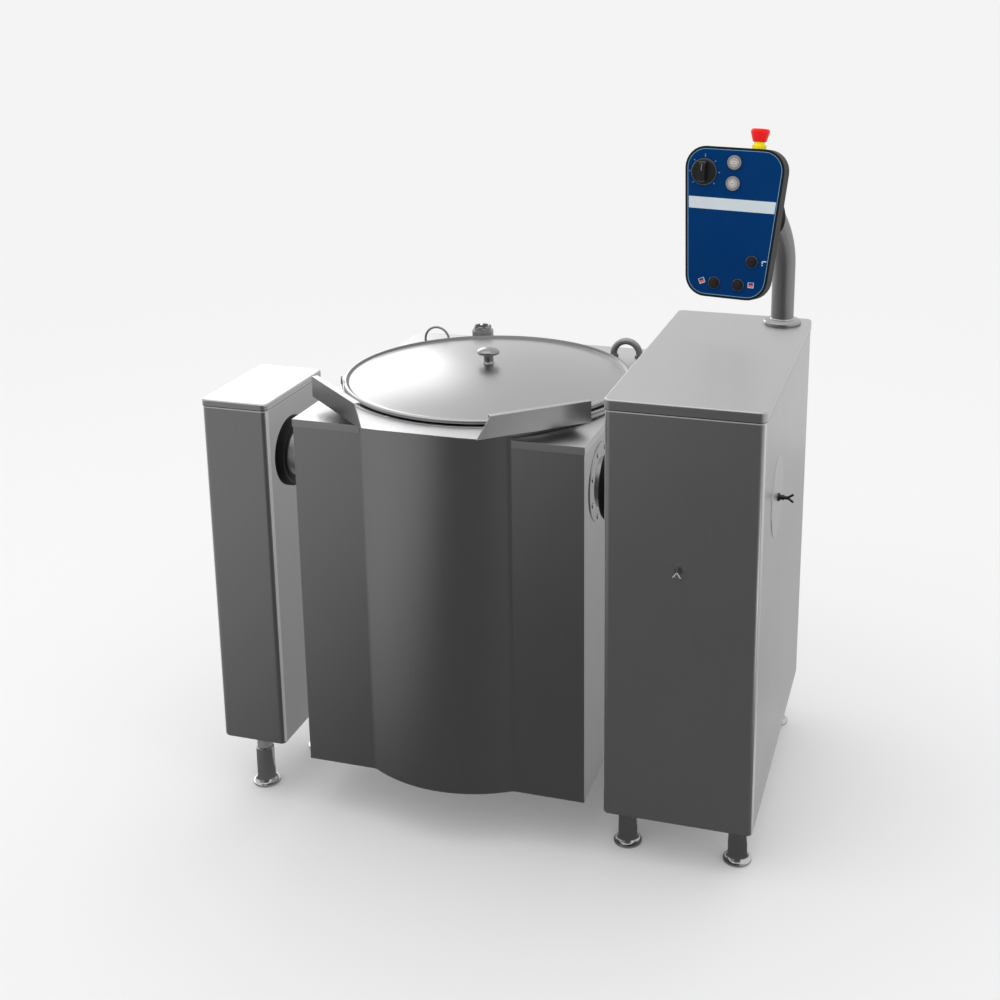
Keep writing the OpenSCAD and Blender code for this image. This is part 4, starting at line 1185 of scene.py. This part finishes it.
class KETTLE_OT_controls(bpy.types.Operator):
    """Heat knob, push buttons and stop button"""

    bl_idname = "kettle.controls"
    bl_label = "Controls"

    def execute(self, context):
        skirt = turned(
            "knob_skirt",
            [
                (0, -12), (5, -12), (5, 0.4), (26.9, 0.4), (28.1, 0.9), (28.5, 2.0),
                (28.3, 4.2), (27.6, 5.8), (26.2, 6.9), (24.0, 7.4), (0, 7.4),
            ],
            steps=72,
            shade=50,
        )
        skirt = on_panel(skirt, *KNOB_OFFSET)
        dress(skirt, "heat_knob", "black_plastic", ["heat_knob"])
        grip = turned(
            "knob_grip",
            [
                (0, 6.9), (23.6, 6.9), (23.0, 9.5), (21.6, 16.8), (20.6, 18.8),
                (18.4, 20.1), (15.0, 20.4), (0, 20.4),
            ],
            steps=48,
            shade=50,
        )
        choose(grip)
        bpy.ops.object.mode_set(mode="EDIT")
        half_grip = 7.5 * MM
        for way in (-1, 1):
            cut((half_grip * way, 0, 0), (way, 0, 0), fill=True)
        bpy.ops.object.mode_set(mode="OBJECT")
        ease_edges(grip, 1.4 * MM, 3, 50)
        smooth(grip, 50)
        dress(on_panel(grip, *KNOB_OFFSET), "heat_knob", "black_plastic")
        pointer = boxed("knob_pointer", (1.6, 15, 0.5), (0, 9 * MM, 20.4 * MM))
        pale = material("knob_mark", moulded, (0.2, 0.2, 0.2), 0.4)
        dress(on_panel(pointer, *KNOB_OFFSET), "heat_knob", "black_plastic", look=pale)

        rim = material("button_rim", moulded, (0.24, 0.225, 0.22), 0.38)
        inlay = material("button_inlay", moulded, (0.37, 0.36, 0.35), 0.4)
        sign = material("button_sign", moulded, (0.66, 0.66, 0.66), 0.4)
        for node in ("light_button", "power_button"):
            ring = turned(
                node + "_ring",
                [
                    (0, -12), (13.4, -12), (13.4, 1.9), (15.3, 1.9), (15.5, 2.4),
                    (15.5, 3.8), (15.1, 4.9), (14.2, 5.5), (12.6, 5.5), (11.9, 5.0),
                    (11.5, 4.3), (0, 4.3),
                ],
                shade=40,
            )
            dress(on_panel(ring, *BUTTONS[node]), node, "grey_plastic", [node], rim)
            disc = turned(
                node + "_inlay",
                [(0, 4.2), (11.4, 4.2), (11.3, 5.0), (10.7, 5.6), (0, 5.85)],
                shade=40,
            )
            disc = on_panel(disc, *BUTTONS[node])
            dress(disc, node, "grey_plastic", look=inlay)
            sign_up = 5.8 * MM
            if node == "light_button":
                parts = [
                    boxed("part", (10, 1.3, 0.3), (0, 2.4 * MM, sign_up)),
                    boxed("part", (10, 1.3, 0.3), (0, -2.4 * MM, sign_up)),
                    boxed("part", (1.3, 6.1, 0.3), (-5 * MM, 0, sign_up)),
                    boxed("part", (1.3, 6.1, 0.3), (5 * MM, 0, sign_up)),
                ]
            else:
                circle = [(3.6, 5.65), (5.0, 5.6), (5.0, 5.95), (3.6, 5.95)]
                parts = [
                    turned("part", circle, steps=32),
                    boxed("part", (1.4, 4.6, 0.4), (0, 4.2 * MM, sign_up)),
                ]
            mark = on_panel(joined(node + "_sign", parts), *BUTTONS[node])
            dress(mark, node, "grey_plastic", look=sign)

        for node in ("water_button", "tilt_up_button", "tilt_down_button"):
            cap = turned(
                node + "_cap",
                [
                    (0, -12), (10.8, -12), (10.8, 1.9), (12.6, 1.9), (12.8, 2.4),
                    (12.8, 3.9), (12.3, 4.9), (11.4, 5.4), (10.3, 5.3), (9.7, 4.6),
                    (9.2, 4.6), (8.9, 6.0), (8.2, 6.5), (4, 6.9), (0, 7.0),
                ],
                shade=40,
            )
            dress(on_panel(cap, *BUTTONS[node]), node, "black_plastic", [node])

        head = turned(
            "stop_head",
            [
                (0, 7), (11.9, 7), (11.9, 0), (13.5, 0), (14.3, 0.6), (15.0, 2.4),
                (16.9, 8.6), (18.9, 15.2), (20.2, 19.4), (20.5, 21.6), (20.4, 23.6),
                (19.8, 25.4), (18.6, 26.9), (16.8, 27.8), (14.0, 28.2), (8, 28.4),
                (0, 28.5),
            ],
            steps=72,
            shade=50,
        )
        aim(head, FACE_UP, on_face(45, 176.5, -20), FACE_OUT)
        dress(head, "stop_button", "red_plastic", ["stop_button"])
        collar = turned(
            "stop_neck",
            [
                (6.1, 0), (15, 0), (15, 1.2), (14.3, 8.6), (13.6, 9.4), (11.7, 10.1),
                (11.4, 10.8), (11.4, 15), (6.1, 15),
            ],
            shade=40,
        )
        ribs = [collar]
        rib_count = 24
        for step in range(rib_count):
            rib = boxed("rib", (1.6, 1.2, 7.4), (0, 14.4 * MM, 4.2 * MM))
            rib.matrix_world = Matrix.Rotation(math.tau * step / rib_count, 4, "Z")
            settle(rib)
            ribs.append(rib)
        collar = joined("stop_ribs", ribs)
        aim(collar, FACE_UP, on_face(45, 161.5, -20), FACE_OUT)
        dress(collar, "stand", "yellow_plastic", ["stop_collar"])
        return {"FINISHED"}


# Stage


def stage_piece(piece, look):
    piece.data.materials.clear()
    piece.data.materials.append(look)


def pale_floor(board, grey):
    """A pale floor that keeps the shadow and fades into the backdrop."""
    board.finish(
        {
            "Base Color": tone(grey),
            "Roughness": 0.6,
            "Specular IOR Level": 0.0,
            "Emission Color": tone(1.0),
            "Emission Strength": 0.1,
        }
    )


def glowing(board, colour, strength=1.0, alpha=1.0):
    """Light of its own and nothing reflected."""
    board.finish(
        {
            "Base Color": tone(0.0),
            "Specular IOR Level": 0.0,
            "Emission Color": colour,
            "Emission Strength": strength,
            "Alpha": alpha,
        }
    )


def graded(board, axis, tones):
    """A grey that changes along one axis, by pairs of a place in metres and a tone."""
    first, last = tones[0][0], tones[-1][0]
    place = board.node("ShaderNodeSeparateXYZ", None, {0: board.place()}, axis)
    share = board.clamp(place, first, last)
    stops = [((at - first) / (last - first), (v, v, v)) for at, v in tones]
    return board.node("ShaderNodeValToRGB", {"stops": stops}, {0: share})


def shade_card(board, tones):
    """A dark card whose tone changes from left to right."""
    glowing(board, graded(board, "X", tones))


def gap_card(board, tones):
    """Light for the gaps beside the casing, from one side of the card alone."""
    behind = board.node("ShaderNodeNewGeometry", out="Backfacing")
    glowing(board, graded(board, "Z", tones), alpha=1.0 - behind)


def plain_card(board, value):
    glowing(board, tone(1.0), value)


def lamp(name, place, target, size, watts):
    """A soft area lamp that looks at a point."""
    clear_choice()
    bpy.ops.object.light_add(type="AREA", location=place)
    made = bpy.context.object
    made.name = name
    made.data.shape = "RECTANGLE"
    made.data.size, made.data.size_y = size
    made.data.energy = watts
    made.rotation_euler = (
        (Vector(target) - Vector(place)).to_track_quat("-Z", "Y").to_euler()
    )
    made.visible_camera = False
    return made


OTHER_RAYS = ("camera", "diffuse", "shadow", "transmission", "volume_scatter")


class KETTLE_OT_stage(bpy.types.Operator):
    """Camera, floor, surroundings and lamps"""

    bl_idname = "kettle.stage"
    bl_label = "Stage"

    def execute(self, context):
        scene = context.scene
        look = scene.kettle_stage
        clear_choice()
        bpy.ops.object.camera_add(
            location=(0.88505, -2.6995, 1.7914),
            rotation=(math.radians(75.49), 0, math.radians(15.68)),
        )
        camera = context.object
        camera.name = "photo_camera"
        camera.data.sensor_width = 36
        camera.data.lens = look.lens
        camera.data.shift_x = -0.0812
        camera.data.shift_y = -0.1921
        camera.data.clip_end = 200
        scene.camera = camera

        clear_choice()
        bpy.ops.mesh.primitive_plane_add(size=400, location=(0, 0, 0))
        floor = context.object
        floor.name = "floor"
        stage_piece(floor, material("pale_floor", pale_floor, look.floor_grey))

        shade = material(
            "shade_card",
            shade_card,
            (
                (-2.4, 0.37), (-1.35, 0.355), (-0.95, 0.265), (-0.7, 0.21),
                (-0.5, 0.145), (-0.3, 0.102), (0.0, 0.095), (1.0, 0.11),
            ),
        )
        dusk = material("dusk_card", plain_card, 0.68)
        deep = material("deep_card", plain_card, 0.2)
        glow = material("glow_card", plain_card, 3.0)
        gap = material(
            "gap_card", gap_card, ((0.2, 0.42), (0.575, 0.5), (0.8, 0.62), (0.95, 0.9))
        )
        for name, size, place, turn, finish in (
            ("shade_low", (12.0, 3.74), (-2, -2.05, 0.004), (0, 0, 0), shade),
            ("shade_front", (12.0, 4.2), (-2, -3.9, 2.1), (90, 0, 0), shade),
            ("shade_right", (1.1, 1.85), (1.13, 1.275, 0.004), (0, 0, 0), dusk),
            ("shade_corner", (1.3, 0.7), (1.6, 0.25, 0.006), (0, 0, 0), deep),
            ("glow_corner", (0.9, 0.5), (1.8, -0.8, 0.006), (0, 0, 0), glow),
            ("gap_right", (0.84, 0.66), (0.2512, 0.045, 0.465), (0, -90, 0), gap),
            ("gap_left", (0.84, 0.66), (-0.3838, 0.045, 0.465), (0, -90, 0), gap),
        ):
            clear_choice()
            bpy.ops.mesh.primitive_plane_add(
                size=1, location=place, rotation=[math.radians(a) for a in turn]
            )
            card = context.object
            card.name = name
            card.scale = (*size, 1)
            settle(card)
            stage_piece(card, finish)
            for ray in OTHER_RAYS:
                setattr(card, "visible_" + ray, False)

        world = bpy.data.worlds.new("surroundings")
        scene.world = world
        board = Board(world)
        seen = (
            board.node("ShaderNodeLightPath", out="Is Camera Ray")
            + board.node("ShaderNodeLightPath", out="Is Glossy Ray")
            + board.node("ShaderNodeLightPath", out="Is Transmission Ray")
        )
        light, shown = (
            board.node("ShaderNodeBackground", None, {0: (1, 1, 1, 1), 1: strength})
            for strength in (look.world_light, 0.97)
        )
        sky = board.node(
            "ShaderNodeMixShader", None, {0: seen > 0.5, 1: light, 2: shown}
        )
        board.node("ShaderNodeOutputWorld", None, {0: sky})

        lamp("top_lamp", (-0.6, -0.4, 3.2), (0, 0.1, 0.6), (2.6, 2.6), 12)
        back = lamp(
            "back_lamp", (-3.3, 3.6, 2.3), (-0.4, 0, 0.9), (3.0, 2.4), 52
        )
        back.visible_diffuse = False

        scene.view_settings.view_transform = "Standard"
        return {"FINISHED"}


PIECES = (
    KETTLE_OT_pillars,
    KETTLE_OT_feet,
    KETTLE_OT_trunnions,
    KETTLE_OT_drive,
    KETTLE_OT_casing,
    KETTLE_OT_vessel,
    KETTLE_OT_spout,
    KETTLE_OT_lid,
    KETTLE_OT_fittings,
    KETTLE_OT_post,
    KETTLE_OT_panel,
    KETTLE_OT_controls,
    KETTLE_OT_stage,
)


class KETTLE_PT_sidebar(bpy.types.Panel):
    """Lists the kettle's pieces in the 3D view's sidebar"""

    bl_idname = "KETTLE_PT_sidebar"
    bl_label = "Tilting Kettle"
    bl_space_type = "VIEW_3D"
    bl_region_type = "UI"
    bl_category = "Kettle"

    def draw(self, context):
        looks = context.scene.kettle_looks
        stage = context.scene.kettle_stage
        column = self.layout.column(align=True)
        for key in ("steel_tone", "panel_blue", "stop_red", "stop_yellow", "edge"):
            column.prop(looks, key)
        for key in ("lens", "floor_grey", "world_light"):
            column.prop(stage, key)
        for piece in PIECES:
            self.layout.operator(piece.bl_idname)


CLASSES = (KettleLooks, KettleStage, *PIECES, KETTLE_PT_sidebar)


def register():
    for item in CLASSES:
        bpy.utils.register_class(item)
    bpy.types.Scene.kettle_looks = bpy.props.PointerProperty(type=KettleLooks)
    bpy.types.Scene.kettle_stage = bpy.props.PointerProperty(type=KettleStage)


def unregister():
    del bpy.types.Scene.kettle_stage
    del bpy.types.Scene.kettle_looks
    for item in reversed(CLASSES):
        bpy.utils.unregister_class(item)


def main():
    register()
    for piece in PIECES:
        group, action = piece.bl_idname.split(".")
        getattr(getattr(bpy.ops, group), action)()


if __name__ == "__main__":
    main()
